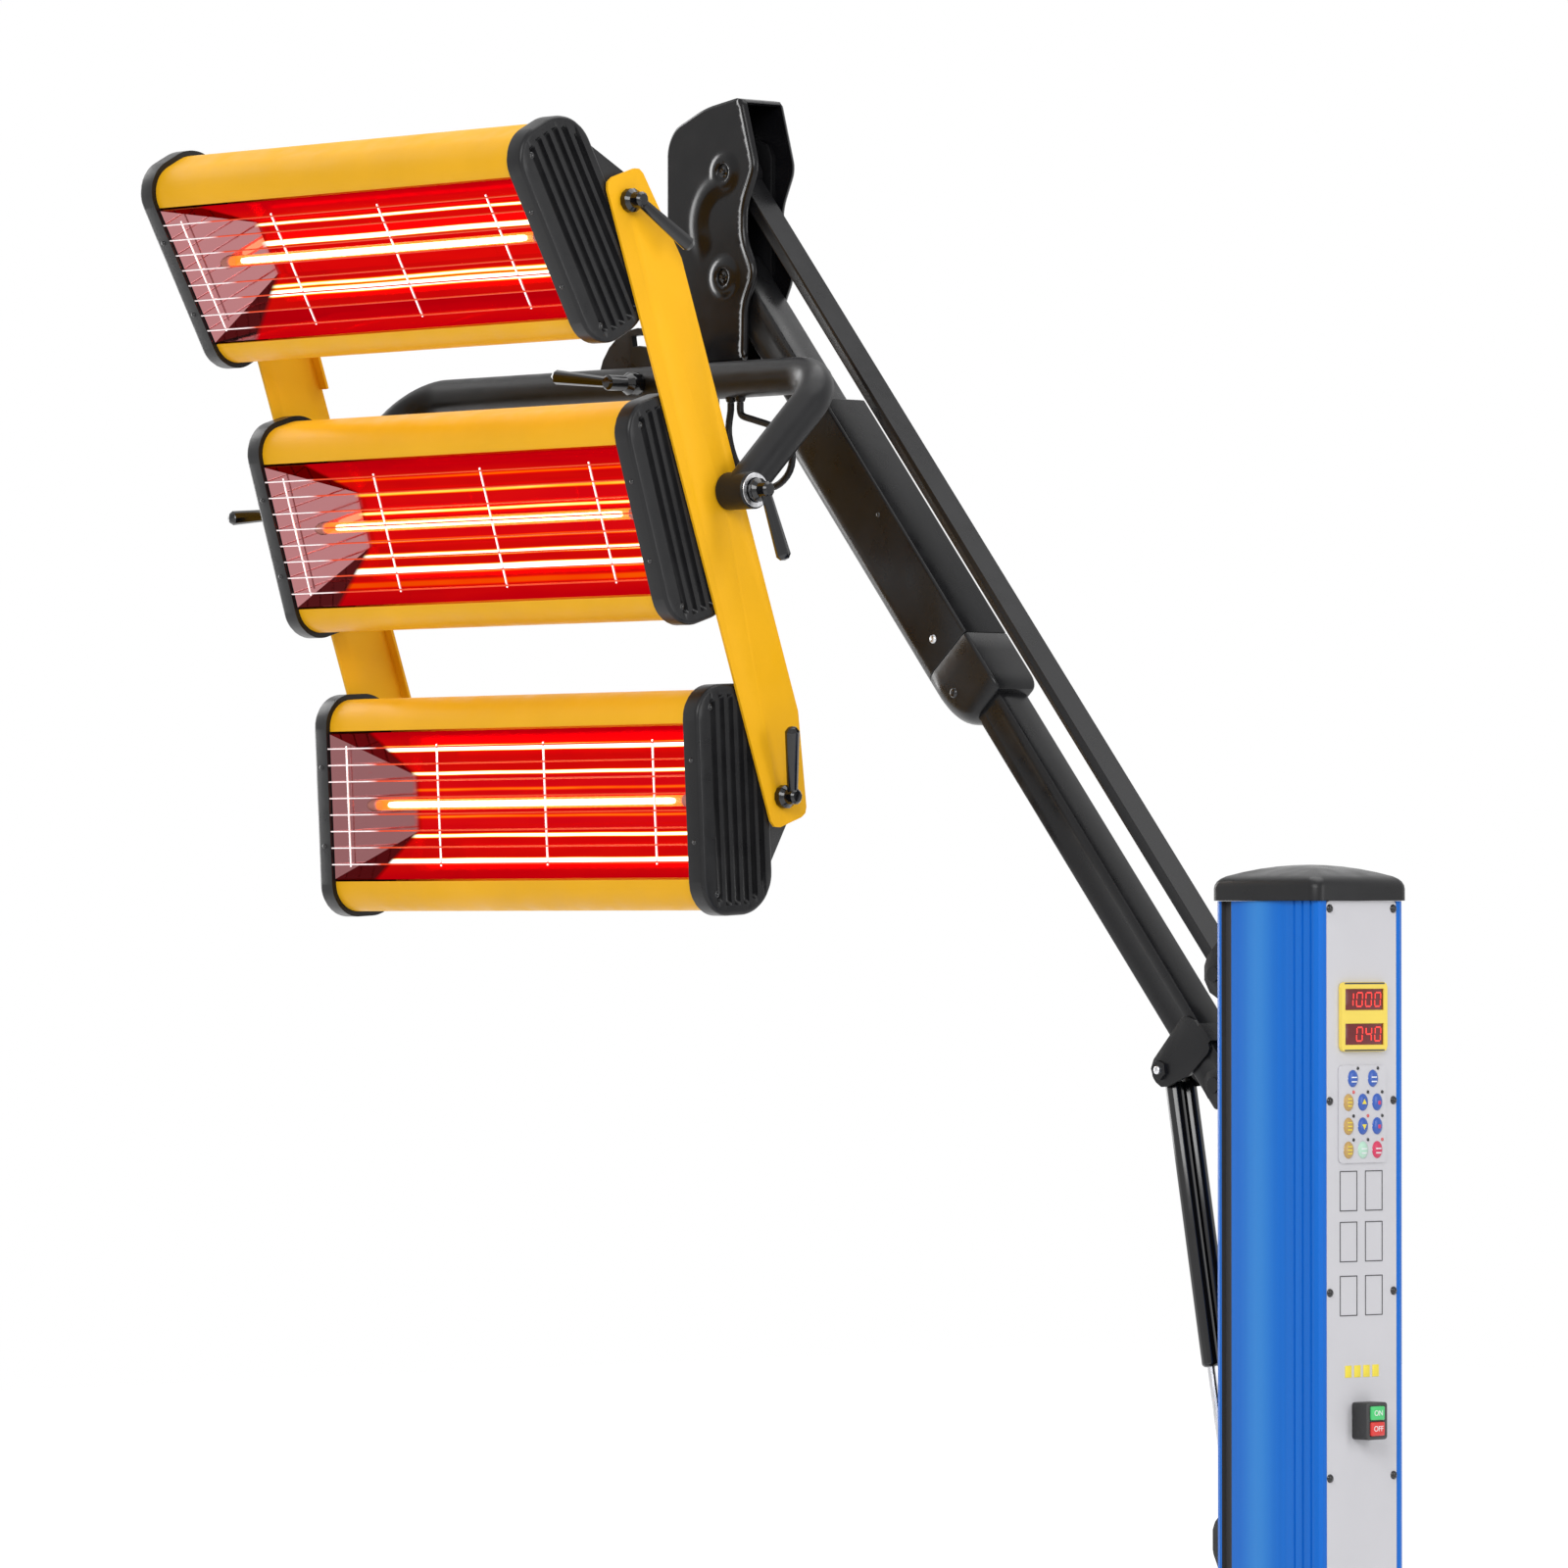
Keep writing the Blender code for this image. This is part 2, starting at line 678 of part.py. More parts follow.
def base():
    leg_length = LEG_FRONT + LEG_REAR
    leg_middle = (LEG_REAR - LEG_FRONT) / 2
    middle_height = LEG_BOTTOM + BASE_TUBE_HEIGHT / 2
    for name, side in (("leg_left", -1), ("leg_right", 1)):
        size = (leg_length, LEG_WIDTH, BASE_TUBE_HEIGHT)
        leg = hollow_beam(name, size, (leg_middle, side * LEG_OFFSET, middle_height))
        finished(leg, LOOK_STEEL_BLACK)
    beam_length = 2 * (LEG_OFFSET - LEG_WIDTH / 2 - FIT_GAP)
    size = (BEAM_DEPTH, beam_length, BASE_TUBE_HEIGHT)
    beam = hollow_beam("cross_beam", size, (0, 0, middle_height))
    plate = outline_mesh(
        [rounded_box(FOOT_PLATE_SIDE, FOOT_PLATE_SIDE, 2 * COLUMN_CORNER)],
        FOOT_PLATE_THICKNESS + BASE_WALL / 2,
    )
    plate_height = BEAM_TOP + FOOT_PLATE_THICKNESS / 2 - BASE_WALL / 4
    fuse(beam, plate, moved((0, 0, plate_height)))
    finished(beam, LOOK_STEEL_BLACK)


def caster(place_name, x, y):
    """A fork that swivels about its plate and a wheel that runs behind it."""
    swivel = joint_empty("caster_swivel_" + place_name, ROOT, (x, y, CASTER_HEIGHT))
    cheek_inside = WHEEL_WIDTH / 2 + RUN_GAP
    cheek_outside = cheek_inside + FORK_SHEET
    axle_drop = CASTER_HEIGHT - WHEEL_RADIUS
    plate = rod_mesh(FORK_PLATE_RADIUS, FORK_SHEET)
    fork = new_object("caster_fork_" + place_name, plate, swivel, moved((0, 0, -FORK_SHEET)))
    race_bottom = -FORK_SHEET - SWIVEL_RACE_HEIGHT
    race_height = SWIVEL_RACE_HEIGHT + FORK_SHEET / 2
    fuse(fork, rod_mesh(SWIVEL_RACE_RADIUS, race_height), moved((0, 0, race_bottom)))
    cheek_top = race_bottom + FORK_SHEET / 2
    cheek = [
        (-SWIVEL_RACE_RADIUS, cheek_top, 0),
        (SWIVEL_RACE_RADIUS * 0.8, cheek_top, 0),
        (CASTER_TRAIL + FORK_CHEEK_RADIUS, -axle_drop + FORK_CHEEK_RADIUS, FORK_CHEEK_RADIUS * 0.8),
        (CASTER_TRAIL, -axle_drop - FORK_CHEEK_RADIUS, FORK_CHEEK_RADIUS * 0.8),
        (CASTER_TRAIL - FORK_CHEEK_RADIUS, -axle_drop, FORK_CHEEK_RADIUS * 0.4),
        (-SWIVEL_RACE_RADIUS, cheek_top - FORK_CHEEK_RADIUS, 0),
    ]
    cheek_mesh = outline_mesh([rounded_corners(cheek, 1)], FORK_SHEET)
    cheek_centre = (cheek_inside + cheek_outside) / 2
    bridge_size = (2 * SWIVEL_RACE_RADIUS * 0.8, 2 * cheek_outside, FORK_SHEET)
    fuse(fork, box_mesh(bridge_size), moved((0, 0, cheek_top)))
    for side in (-1, 1):
        fuse(fork, cheek_mesh, moved((0, side * cheek_centre, 0), STAND_XZ))
    axle_length = 2 * (cheek_outside + FORK_SHEET)
    axle_place = (CASTER_TRAIL, -axle_length / 2, -axle_drop)
    fuse(fork, rod_mesh(AXLE_RADIUS, axle_length, AXLE_SIDES), moved(axle_place, ALONG_Y))
    finished(fork, LOOK_STEEL)

    spin = joint_empty("wheel_spin_" + place_name, swivel, (CASTER_TRAIL, 0, -axle_drop))
    half = WHEEL_WIDTH / 2
    bore = AXLE_RADIUS + PIN_GAP
    profile = [
        (bore, half),
        (WHEEL_RADIUS - WHEEL_CROWN, half),
        (WHEEL_RADIUS, half - WHEEL_CROWN),
        (WHEEL_RADIUS, -half + WHEEL_CROWN),
        (WHEEL_RADIUS - WHEEL_CROWN, -half),
        (bore, -half),
        (bore, half),
    ]
    tyre = turned_mesh(profile, WHEEL_SIDES)
    wheel = new_object("caster_wheel_" + place_name, tyre, spin, moved((0, 0, 0), ALONG_Y))
    finished(wheel, LOOK_TYRE)


def casters():
    front = -LEG_FRONT + FORK_PLATE_RADIUS
    rear = LEG_REAR - FORK_PLATE_RADIUS
    for end_name, x in (("front", front), ("rear", rear)):
        for side_name, side in (("left", -1), ("right", 1)):
            caster(end_name + "_" + side_name, x, side * LEG_OFFSET)


def column_side(direction):
    """One long side of the extrusion, from the rear to the front, seen from above."""
    face = direction * COLUMN_WIDTH / 2
    deep = direction * (COLUMN_WIDTH / 2 - CHANNEL_DEPTH)
    groove = direction * (COLUMN_WIDTH / 2 - GROOVE_DEPTH)
    rear = -COLUMN_DEPTH / 2
    front = COLUMN_DEPTH / 2
    channel_start = rear + CHANNEL_FROM_REAR
    channel_end = channel_start + CHANNEL_WIDTH
    points = arc(
        (rear + COLUMN_CORNER, direction * (COLUMN_WIDTH / 2 - COLUMN_CORNER)),
        COLUMN_CORNER,
        math.pi,
        math.pi - direction * math.pi / 2,
    )
    points += [(channel_start, face), (channel_start, deep), (channel_end, deep)]
    crown_start = channel_end
    crown_end = front - GROOVE_FROM_FRONT - (GROOVE_COUNT - 1) * GROOVE_PITCH - GROOVE_PITCH
    steps = 8
    for i in range(steps + 1):
        x = crown_start + (crown_end - crown_start) * i / steps
        rise = COLUMN_CROWN * math.sin(math.pi * i / steps)
        points.append((x, face + direction * rise))
    for i in range(GROOVE_COUNT):
        middle = front - GROOVE_FROM_FRONT - (GROOVE_COUNT - 1 - i) * GROOVE_PITCH
        points.append((middle - GROOVE_WIDTH / 2, face))
        points.append((middle, groove))
        points.append((middle + GROOVE_WIDTH / 2, face))
    points += arc(
        (front - COLUMN_CORNER, direction * (COLUMN_WIDTH / 2 - COLUMN_CORNER)),
        COLUMN_CORNER,
        direction * math.pi / 2,
        0.0,
    )
    return points


def column():
    recess = COLUMN_DEPTH / 2 - PANEL_THICKNESS - FIT_GAP
    edge = PANEL_WIDTH / 2
    right = column_side(-1)
    left = column_side(1)
    front_recess = [
        (COLUMN_DEPTH / 2, -edge),
        (recess, -edge),
        (recess, edge),
        (COLUMN_DEPTH / 2, edge),
    ]
    outer = right + front_recess + list(reversed(left))
    wall = COLUMN_WALL + CHANNEL_DEPTH / 2
    inner = rounded_box(COLUMN_DEPTH - 2 * wall, COLUMN_WIDTH - 2 * wall, COLUMN_CORNER)
    height = COLUMN_TOP - COLUMN_BOTTOM
    middle = COLUMN_BOTTOM + height / 2
    profile = outline_mesh([outer, inner], height)
    finished(new_object("column_profile", profile, ROOT, moved((0, 0, middle))), LOOK_BLUE)

    bottom = COLUMN_TOP + FIT_GAP
    cap_outline = rounded_box(
        COLUMN_DEPTH + 2 * CAP_OVERHANG,
        COLUMN_WIDTH + 2 * COLUMN_CROWN + 2 * CAP_OVERHANG,
        COLUMN_CORNER + CAP_OVERHANG,
    )
    cap = new_object(
        "column_cap",
        outline_mesh([cap_outline], CAP_HEIGHT),
        ROOT,
        moved((0, 0, bottom + CAP_HEIGHT / 2)),
    )
    reach = math.hypot(COLUMN_DEPTH, COLUMN_WIDTH) / 2 + COLUMN_CORNER + CAP_OVERHANG
    rings = 4
    dome = []
    for i in range(rings + 1):
        out = reach * i / rings
        dome.append((out, math.sqrt(CAP_DOME_RADIUS ** 2 - out ** 2) - CAP_DOME_RADIUS))
    dome += [(reach, -CAP_HEIGHT - OVERRUN), (0, -CAP_HEIGHT - OVERRUN)]
    trim(cap, turned_mesh(dome, BOSS_SIDES), moved((0, 0, bottom + CAP_HEIGHT)))
    finished(cap, LOOK_PLASTIC_BLACK)


def control_panel():
    height = COLUMN_TOP - COLUMN_BOTTOM
    middle = COLUMN_BOTTOM + height / 2
    face = COLUMN_DEPTH / 2
    outline = rounded_box(PANEL_WIDTH - 2 * FIT_GAP, height, PANEL_CORNER)
    panel = new_object(
        "control_panel",
        outline_mesh([outline], PANEL_THICKNESS),
        ROOT,
        moved((face - PANEL_THICKNESS / 2, 0, middle), STAND_YZ),
    )
    finished(panel, LOOK_PANEL)

    bezel_height = COLUMN_TOP - BEZEL_BELOW_TOP
    bezel_outline = rounded_box(BEZEL_WIDTH, BEZEL_HEIGHT, BEZEL_CORNER)
    bezel = new_object(
        "display_bezel",
        outline_mesh([bezel_outline], BEZEL_THICKNESS),
        ROOT,
        moved((face + FIT_GAP + BEZEL_THICKNESS / 2, 0, bezel_height), STAND_YZ),
    )
    windows = []
    for side in (-1, 1):
        window = box_mesh((2 * WINDOW_RECESS, WINDOW_WIDTH, WINDOW_HEIGHT))
        windows.append((window, Matrix.Translation((0, 0, side * WINDOW_SPACING / 2))))
    window_face = face + FIT_GAP + BEZEL_THICKNESS
    cut(bezel, joined_mesh(windows), moved((window_face, 0, bezel_height)))
    finished(bezel, LOOK_BEZEL)

    keypad_height = COLUMN_TOP - KEYPAD_BELOW_TOP
    sheet_outline = rounded_box(KEYPAD_WIDTH, KEYPAD_HEIGHT, PANEL_CORNER)
    keypad = new_object(
        "keypad",
        outline_mesh([sheet_outline], KEYPAD_SHEET),
        ROOT,
        moved((face + FIT_GAP + KEYPAD_SHEET / 2, 0, keypad_height), STAND_YZ),
    )
    dome = key_dome()
    keys = []
    for row in range(4):
        count = 2 if row == 0 else 3
        pitch = KEY_PITCH * 1.4 if row == 0 else KEY_PITCH
        z = (1.5 - row) * KEY_ROW_PITCH
        for column_index in range(count):
            y = (column_index - (count - 1) / 2) * pitch
            keys.append((dome, Matrix.Translation((0, y, z))))
    key_base = face + FIT_GAP + KEYPAD_SHEET / 2
    fuse(keypad, joined_mesh(keys), moved((key_base, 0, keypad_height)))
    finished(keypad, LOOK_KEYS)


def key_dome():
    """A flattened half ball that rises along +X."""
    mesh = bpy.data.meshes.new("dome")
    work = bmesh.new()
    bmesh.ops.create_uvsphere(work, u_segments=8, v_segments=4, radius=1.0)
    lower = [v for v in work.verts if v.co.z < -0.01]
    bmesh.ops.delete(work, geom=lower, context="VERTS")
    rim = [edge for edge in work.edges if edge.is_boundary]
    bmesh.ops.contextual_create(work, geom=rim)
    bmesh.ops.scale(work, vec=(KEY_HEIGHT / 2, KEY_WIDTH / 2, KEY_RISE + KEYPAD_SHEET / 2), verts=work.verts)
    bmesh.ops.recalc_face_normals(work, faces=work.faces)
    work.to_mesh(mesh)
    work.free()
    mesh.transform(Euler(ALONG_X).to_matrix().to_4x4())
    return mesh


def switch():
    face = COLUMN_DEPTH / 2 + FIT_GAP
    height = COLUMN_TOP - SWITCH_BELOW_TOP
    front = face + SWITCH_DEPTH
    outline = rounded_box(SWITCH_WIDTH, SWITCH_HEIGHT, SWITCH_CORNER)
    body = new_object(
        "switch_body",
        outline_mesh([outline], SWITCH_DEPTH),
        ROOT,
        moved((face + SWITCH_DEPTH / 2, 0, height), STAND_YZ),
    )
    round_edges(body, SWITCH_CORNER / 2)
    spacing = BUTTON_HEIGHT + 4 * RUN_GAP / 3
    well_depth = BUTTON_LENGTH - BUTTON_PROUD + BUTTON_TRAVEL + FIT_GAP
    well = (2 * well_depth, BUTTON_WIDTH + 2 * FIT_GAP, BUTTON_HEIGHT + 2 * FIT_GAP)
    wells = []
    for side in (-1, 1):
        wells.append((box_mesh(well), Matrix.Translation((0, 0, side * spacing / 2))))
    cut(body, joined_mesh(wells), moved((front, 0, height)))
    finished(body, LOOK_PLASTIC_BLACK)
    buttons = (("on_button", 1, LOOK_GREEN), ("off_button", -1, LOOK_RED))
    for name, side, look in buttons:
        centre = front + BUTTON_PROUD - BUTTON_LENGTH / 2
        slide = joint_empty(name + "_slide", ROOT, (centre, 0, height + side * spacing / 2))
        size = (BUTTON_LENGTH, BUTTON_WIDTH, BUTTON_HEIGHT)
        button = new_object(name, box_mesh(size), slide, moved())
        round_edges(button, BUTTON_CORNER / 2, 1)
        finished(button, look)


def rear_bracket():
    """A channel down the column's back, with ears for the arm, the link and the spring feet."""
    back = COLUMN_DEPTH / 2 + FIT_GAP
    plate_face = back + BRACKET_PLATE
    height = BRACKET_TOP - BRACKET_BOTTOM
    ear_outside = EAR_INSIDE + BRACKET_SHEET
    plate = new_object(
        "rear_bracket",
        box_mesh((BRACKET_PLATE, 2 * ear_outside + BRACKET_SHEET, height + BRACKET_SHEET)),
        ROOT,
        moved((-back - BRACKET_PLATE / 2, 0, BRACKET_BOTTOM + height / 2)),
    )
    link_height = ARM_PIVOT_HEIGHT + LINK_RISE
    flange = plate_face + BRACKET_FLANGE
    root = back + BRACKET_PLATE / 2
    link_reach = ARM_PIVOT_BEHIND + LINK_EAR_RADIUS
    arm_reach = ARM_PIVOT_BEHIND + ARM_EAR_RADIUS
    foot_reach = SPRING_FOOT_BEHIND + LINK_EAR_RADIUS
    ear = [
        (-root, BRACKET_TOP, 0),
        (-flange, BRACKET_TOP, LINK_EAR_RADIUS / 2),
        (-link_reach, link_height + LINK_EAR_RADIUS, LINK_EAR_RADIUS),
        (-link_reach, link_height - LINK_EAR_RADIUS, LINK_EAR_RADIUS),
        (-flange, link_height - 2 * LINK_EAR_RADIUS, LINK_EAR_RADIUS / 2),
        (-flange, ARM_PIVOT_HEIGHT + 1.2 * ARM_EAR_RADIUS, ARM_EAR_RADIUS / 3),
        (-arm_reach, ARM_PIVOT_HEIGHT + ARM_EAR_RADIUS * 0.7, ARM_EAR_RADIUS * 0.6),
        (-arm_reach, ARM_PIVOT_HEIGHT - ARM_EAR_RADIUS * 0.7, ARM_EAR_RADIUS * 0.6),
        (-flange, ARM_PIVOT_HEIGHT - 1.2 * ARM_EAR_RADIUS, ARM_EAR_RADIUS / 3),
        (-flange, SPRING_FOOT_HEIGHT + 2 * LINK_EAR_RADIUS, LINK_EAR_RADIUS / 2),
        (-foot_reach, SPRING_FOOT_HEIGHT + LINK_EAR_RADIUS * 0.9, LINK_EAR_RADIUS * 0.8),
        (-foot_reach, SPRING_FOOT_HEIGHT - LINK_EAR_RADIUS, LINK_EAR_RADIUS * 0.8),
        (-flange, BRACKET_BOTTOM, LINK_EAR_RADIUS / 2),
        (-root, BRACKET_BOTTOM, 0),
    ]
    ear_mesh = outline_mesh([rounded_corners(ear, 1)], BRACKET_SHEET)
    for side in (-1, 1):
        y = side * (EAR_INSIDE + BRACKET_SHEET / 2)
        fuse(plate, ear_mesh, moved((0, y, 0), STAND_XZ))
    pin_length = 2 * (ear_outside + FORK_SHEET)
    pins = (
        (ARM_PIVOT_BEHIND, ARM_PIVOT_HEIGHT, PIVOT_RADIUS),
        (ARM_PIVOT_BEHIND, link_height, PIVOT_RADIUS),
        (SPRING_FOOT_BEHIND, SPRING_FOOT_HEIGHT, SPRING_PIN_RADIUS),
    )
    pin_meshes = []
    for behind, pin_height, radius in pins:
        place = (-behind, -pin_length / 2, pin_height)
        pin_meshes.append((rod_mesh(radius, pin_length), moved(place, ALONG_Y)))
    fuse(plate, joined_mesh(pin_meshes), moved())
    finished(plate, LOOK_ARM)


LIFT = joint_empty(
    "lift_axis",
    ROOT,
    (-ARM_PIVOT_BEHIND, 0, ARM_PIVOT_HEIGHT),
    (0, -ARM_ELEVATION, math.pi),
)
LINK = joint_empty(
    "link_axis",
    ROOT,
    (-ARM_PIVOT_BEHIND, 0, ARM_PIVOT_HEIGHT + LINK_RISE),
    (0, -ARM_ELEVATION, math.pi),
)


def main_arm():
    """A square tube; its own X runs up the arm from the column pivot, its own Z stands off it."""
    length = ARM_LENGTH + 2 * ARM_END
    middle = ARM_LENGTH / 2
    arm = new_object("main_arm", box_mesh((length, ARM_SIDE, ARM_SIDE)), LIFT, moved((middle, 0, 0)))
    round_edges(arm, ARM_WALL)
    inside = ARM_SIDE - 2 * ARM_WALL
    cut(arm, box_mesh((length + 2 * OVERRUN, inside, inside)), moved((middle, 0, 0)))
    holes = []
    hole = rod_mesh(PIVOT_RADIUS + PIN_GAP, ARM_SIDE + 2 * OVERRUN)
    for along in (0, ARM_LENGTH):
        holes.append((hole, moved((along, -ARM_SIDE / 2 - OVERRUN, 0), ALONG_Y)))
    cut(arm, joined_mesh(holes), moved())
    finished(arm, LOOK_ARM)


def upper_link():
    outline = rounded_box(ARM_LENGTH + 2 * LINK_END, LINK_THICKNESS, LINK_THICKNESS / 2, (ARM_LENGTH / 2, 0))
    link = new_object("upper_link", outline_mesh([outline], LINK_WIDTH), LINK, moved((0, 0, 0), STAND_XZ))
    eye = rod_mesh(PIVOT_RADIUS + LINK_THICKNESS / 2, LINK_WIDTH)
    hole = rod_mesh(PIVOT_RADIUS + PIN_GAP, LINK_WIDTH + 2 * OVERRUN)
    eyes = []
    holes = []
    for along in (0, ARM_LENGTH):
        eyes.append((eye, moved((along, -LINK_WIDTH / 2, 0), ALONG_Y)))
        holes.append((hole, moved((along, -LINK_WIDTH / 2 - OVERRUN, 0), ALONG_Y)))
    fuse(link, joined_mesh(eyes), moved())
    cut(link, joined_mesh(holes), moved())
    finished(link, LOOK_ARM)


def arm_housing():
    """A moulded sleeve round the arm, with an end cap that curves in to the arm's underside."""
    corners = [
        (HOUSING_HALF_WIDTH, HOUSING_ABOVE, HOUSING_EDGE),
        (-HOUSING_HALF_WIDTH, HOUSING_ABOVE, HOUSING_EDGE),
        (-HOUSING_HALF_WIDTH, -HOUSING_BELOW, HOUSING_ROUND),
        (HOUSING_HALF_WIDTH, -HOUSING_BELOW, HOUSING_ROUND),
    ]
    section = rounded_corners(corners, CORNER_STEPS)
    high = 2 * HOUSING_ABOVE
    low = -HOUSING_BELOW - FIT_GAP
    body = [
        (HOUSING_START - OVERRUN, high, 0),
        (HOUSING_START - OVERRUN, low, 0),
        (HOUSING_END, low, HOUSING_ROUND),
        (HOUSING_END, high, 0),
    ]
    seam = HOUSING_START - FIT_GAP
    tail = [(seam + OVERRUN, high), (TAPER_START, high)]
    for x, z in arc((0, 0), 1, math.pi, 1.5 * math.pi, 2 * CORNER_STEPS):
        tail.append((seam + x * TAPER_LENGTH, -TAPER_LIP - z * (low + TAPER_LIP)))
    tail.append((seam + OVERRUN, low))
    half_arm = ARM_SIDE / 2 + FIT_GAP
    passage = [
        (half_arm, half_arm),
        (-half_arm, half_arm),
        (-half_arm, -half_arm),
        (half_arm, -half_arm),
    ]
    shapes = (
        ("arm_housing", rounded_corners(body, CORNER_STEPS), HOUSING_START, HOUSING_END + OVERRUN),
        ("housing_end_cap", tail, TAPER_START - OVERRUN, seam),
    )
    for name, side_view, first, last in shapes:
        piece = new_object(name, prism(section, first, last), LIFT, moved())
        trim(piece, outline_mesh([side_view], 4 * HOUSING_HALF_WIDTH), moved((0, 0, 0), STAND_XZ))
        cut(piece, prism(passage, first - OVERRUN, last + OVERRUN), moved())
        finished(piece, LOOK_ARM)


def spring_bracket():
    """A saddle on the arm's underside; stub bolts with heads hold the springs' top eyes."""
    inside = ARM_SIDE / 2 + FIT_GAP
    outside = inside + SADDLE_SHEET
    side_plate = [
        (SADDLE_REAR, ARM_SIDE * 0.5, SADDLE_EAR_RADIUS / 2),
        (SADDLE_REAR, -ARM_SIDE * 0.5, SADDLE_EAR_RADIUS / 2),
        (SPRING_TOP_ALONG - SADDLE_EAR_RADIUS, -SPRING_TOP_BELOW - SADDLE_EAR_RADIUS, SADDLE_EAR_RADIUS),
        (SPRING_TOP_ALONG + SADDLE_EAR_RADIUS, -SPRING_TOP_BELOW - SADDLE_EAR_RADIUS, SADDLE_EAR_RADIUS),
        (SADDLE_FRONT + SADDLE_EAR_RADIUS, ARM_SIDE * 0.3, SADDLE_EAR_RADIUS / 2),
        (SADDLE_FRONT, ARM_SIDE * 0.5, SADDLE_EAR_RADIUS / 2),
    ]
    web_length = SADDLE_FRONT - SADDLE_REAR - SADDLE_EAR_RADIUS
    web_middle = (SADDLE_FRONT + SADDLE_REAR) / 2
    web = new_object(
        "spring_bracket",
        box_mesh((web_length, 2 * outside, SADDLE_SHEET)),
        LIFT,
        moved((web_middle, 0, inside + SADDLE_SHEET / 2)),
    )
    side_mesh = outline_mesh([rounded_corners(side_plate)], SADDLE_SHEET)
    neck = box_mesh((web_length, SADDLE_SHEET, 2 * SADDLE_SHEET + ARM_SIDE / 2))
    for side in (-1, 1):
        y = side * (inside + SADDLE_SHEET / 2)
        fuse(web, side_mesh, moved((0, y, 0), STAND_XZ))
        neck_z = inside + SADDLE_SHEET - (2 * SADDLE_SHEET + ARM_SIDE / 2) / 2
        fuse(web, neck, moved((web_middle, y, neck_z)))
        head_place = (SPRING_TOP_ALONG, side * (outside - SADDLE_SHEET / 2), -SPRING_TOP_BELOW)
        turn = ALONG_Y if side > 0 else ALONG_MINUS_Y
        head_mesh = rod_mesh(STUB_HEAD_RADIUS, STUB_HEAD_HEIGHT + SADDLE_SHEET / 2, 6)
        fuse(web, head_mesh, moved(head_place, turn))
    finished(web, LOOK_ARM)


def spring_line():
    """The springs' foot and top points in the stand's frame, and the lean of the line between them."""
    foot = Vector((-SPRING_FOOT_BEHIND, 0, SPRING_FOOT_HEIGHT))
    along = Vector((-math.cos(ARM_ELEVATION), 0, math.sin(ARM_ELEVATION)))
    up = Vector((math.sin(ARM_ELEVATION), 0, math.cos(ARM_ELEVATION)))
    pivot = Vector((-ARM_PIVOT_BEHIND, 0, ARM_PIVOT_HEIGHT))
    top = pivot + along * SPRING_TOP_ALONG - up * SPRING_TOP_BELOW
    lean = math.atan2(top.x - foot.x, top.z - foot.z)
    return foot, (top - foot).length, lean


def gas_springs():
    """Rods stand on the lower pin and slide up into the cylinders, which hang from the arm."""
    foot, length, lean = spring_line()
    swing = joint_empty("spring_swing_axis", ROOT, foot, (0, lean, 0))
    travel = joint_empty("spring_slide_axis", swing, (0, 0, length))
    body_top = -SPRING_NECK_LENGTH
    body_bottom = body_top - SPRING_BODY_LENGTH
    bore = ROD_RADIUS + PIN_GAP
    bore_top = body_bottom + SPRING_BORE_DEPTH
    step = SPRING_NECK_RADIUS / 2
    cylinder = [
        (0, SPRING_NECK_RADIUS),
        (SPRING_NECK_RADIUS, SPRING_NECK_RADIUS),
        (SPRING_NECK_RADIUS, body_top + step),
        (SPRING_RADIUS - step, body_top),
        (SPRING_RADIUS, body_top - step),
        (SPRING_RADIUS, body_bottom + step),
        (SPRING_RADIUS - step, body_bottom),
        (bore, body_bottom),
        (bore, bore_top),
        (0, bore_top),
    ]
    cylinder_mesh = turned_mesh(cylinder, ROUND_SIDES)
    rod_top = length + body_bottom + ROD_INSIDE
    for name, side in (("left", -1), ("right", 1)):
        y = side * SPRING_SPACING / 2
        body = new_object("spring_cylinder_" + name, cylinder_mesh.copy(), travel, moved((0, y, 0)))
        finished(body, LOOK_STEEL_BLACK)
        eye_place = moved((0, y - ROD_EYE_RADIUS, 0), ALONG_Y)
        eye = rod_mesh(ROD_EYE_RADIUS, 2 * ROD_EYE_RADIUS)
        rod = new_object("spring_rod_" + name, eye, swing, eye_place)
        fuse(rod, rod_mesh(ROD_RADIUS, rod_top), moved((0, y, 0)))
        hole = rod_mesh(SPRING_PIN_RADIUS + PIN_GAP, 4 * ROD_EYE_RADIUS)
        cut(rod, hole, moved((0, y - 2 * ROD_EYE_RADIUS, 0), ALONG_Y))
        finished(rod, LOOK_STEEL)


# The head's axes stay parallel to the stand's
HEAD = joint_empty("head_axis", LIFT, (ARM_LENGTH, 0, 0))
HEAD.matrix_local = moved((ARM_LENGTH, 0, 0)) @ moved((0, 0, 0), (0, -ARM_ELEVATION, math.pi)).inverted()


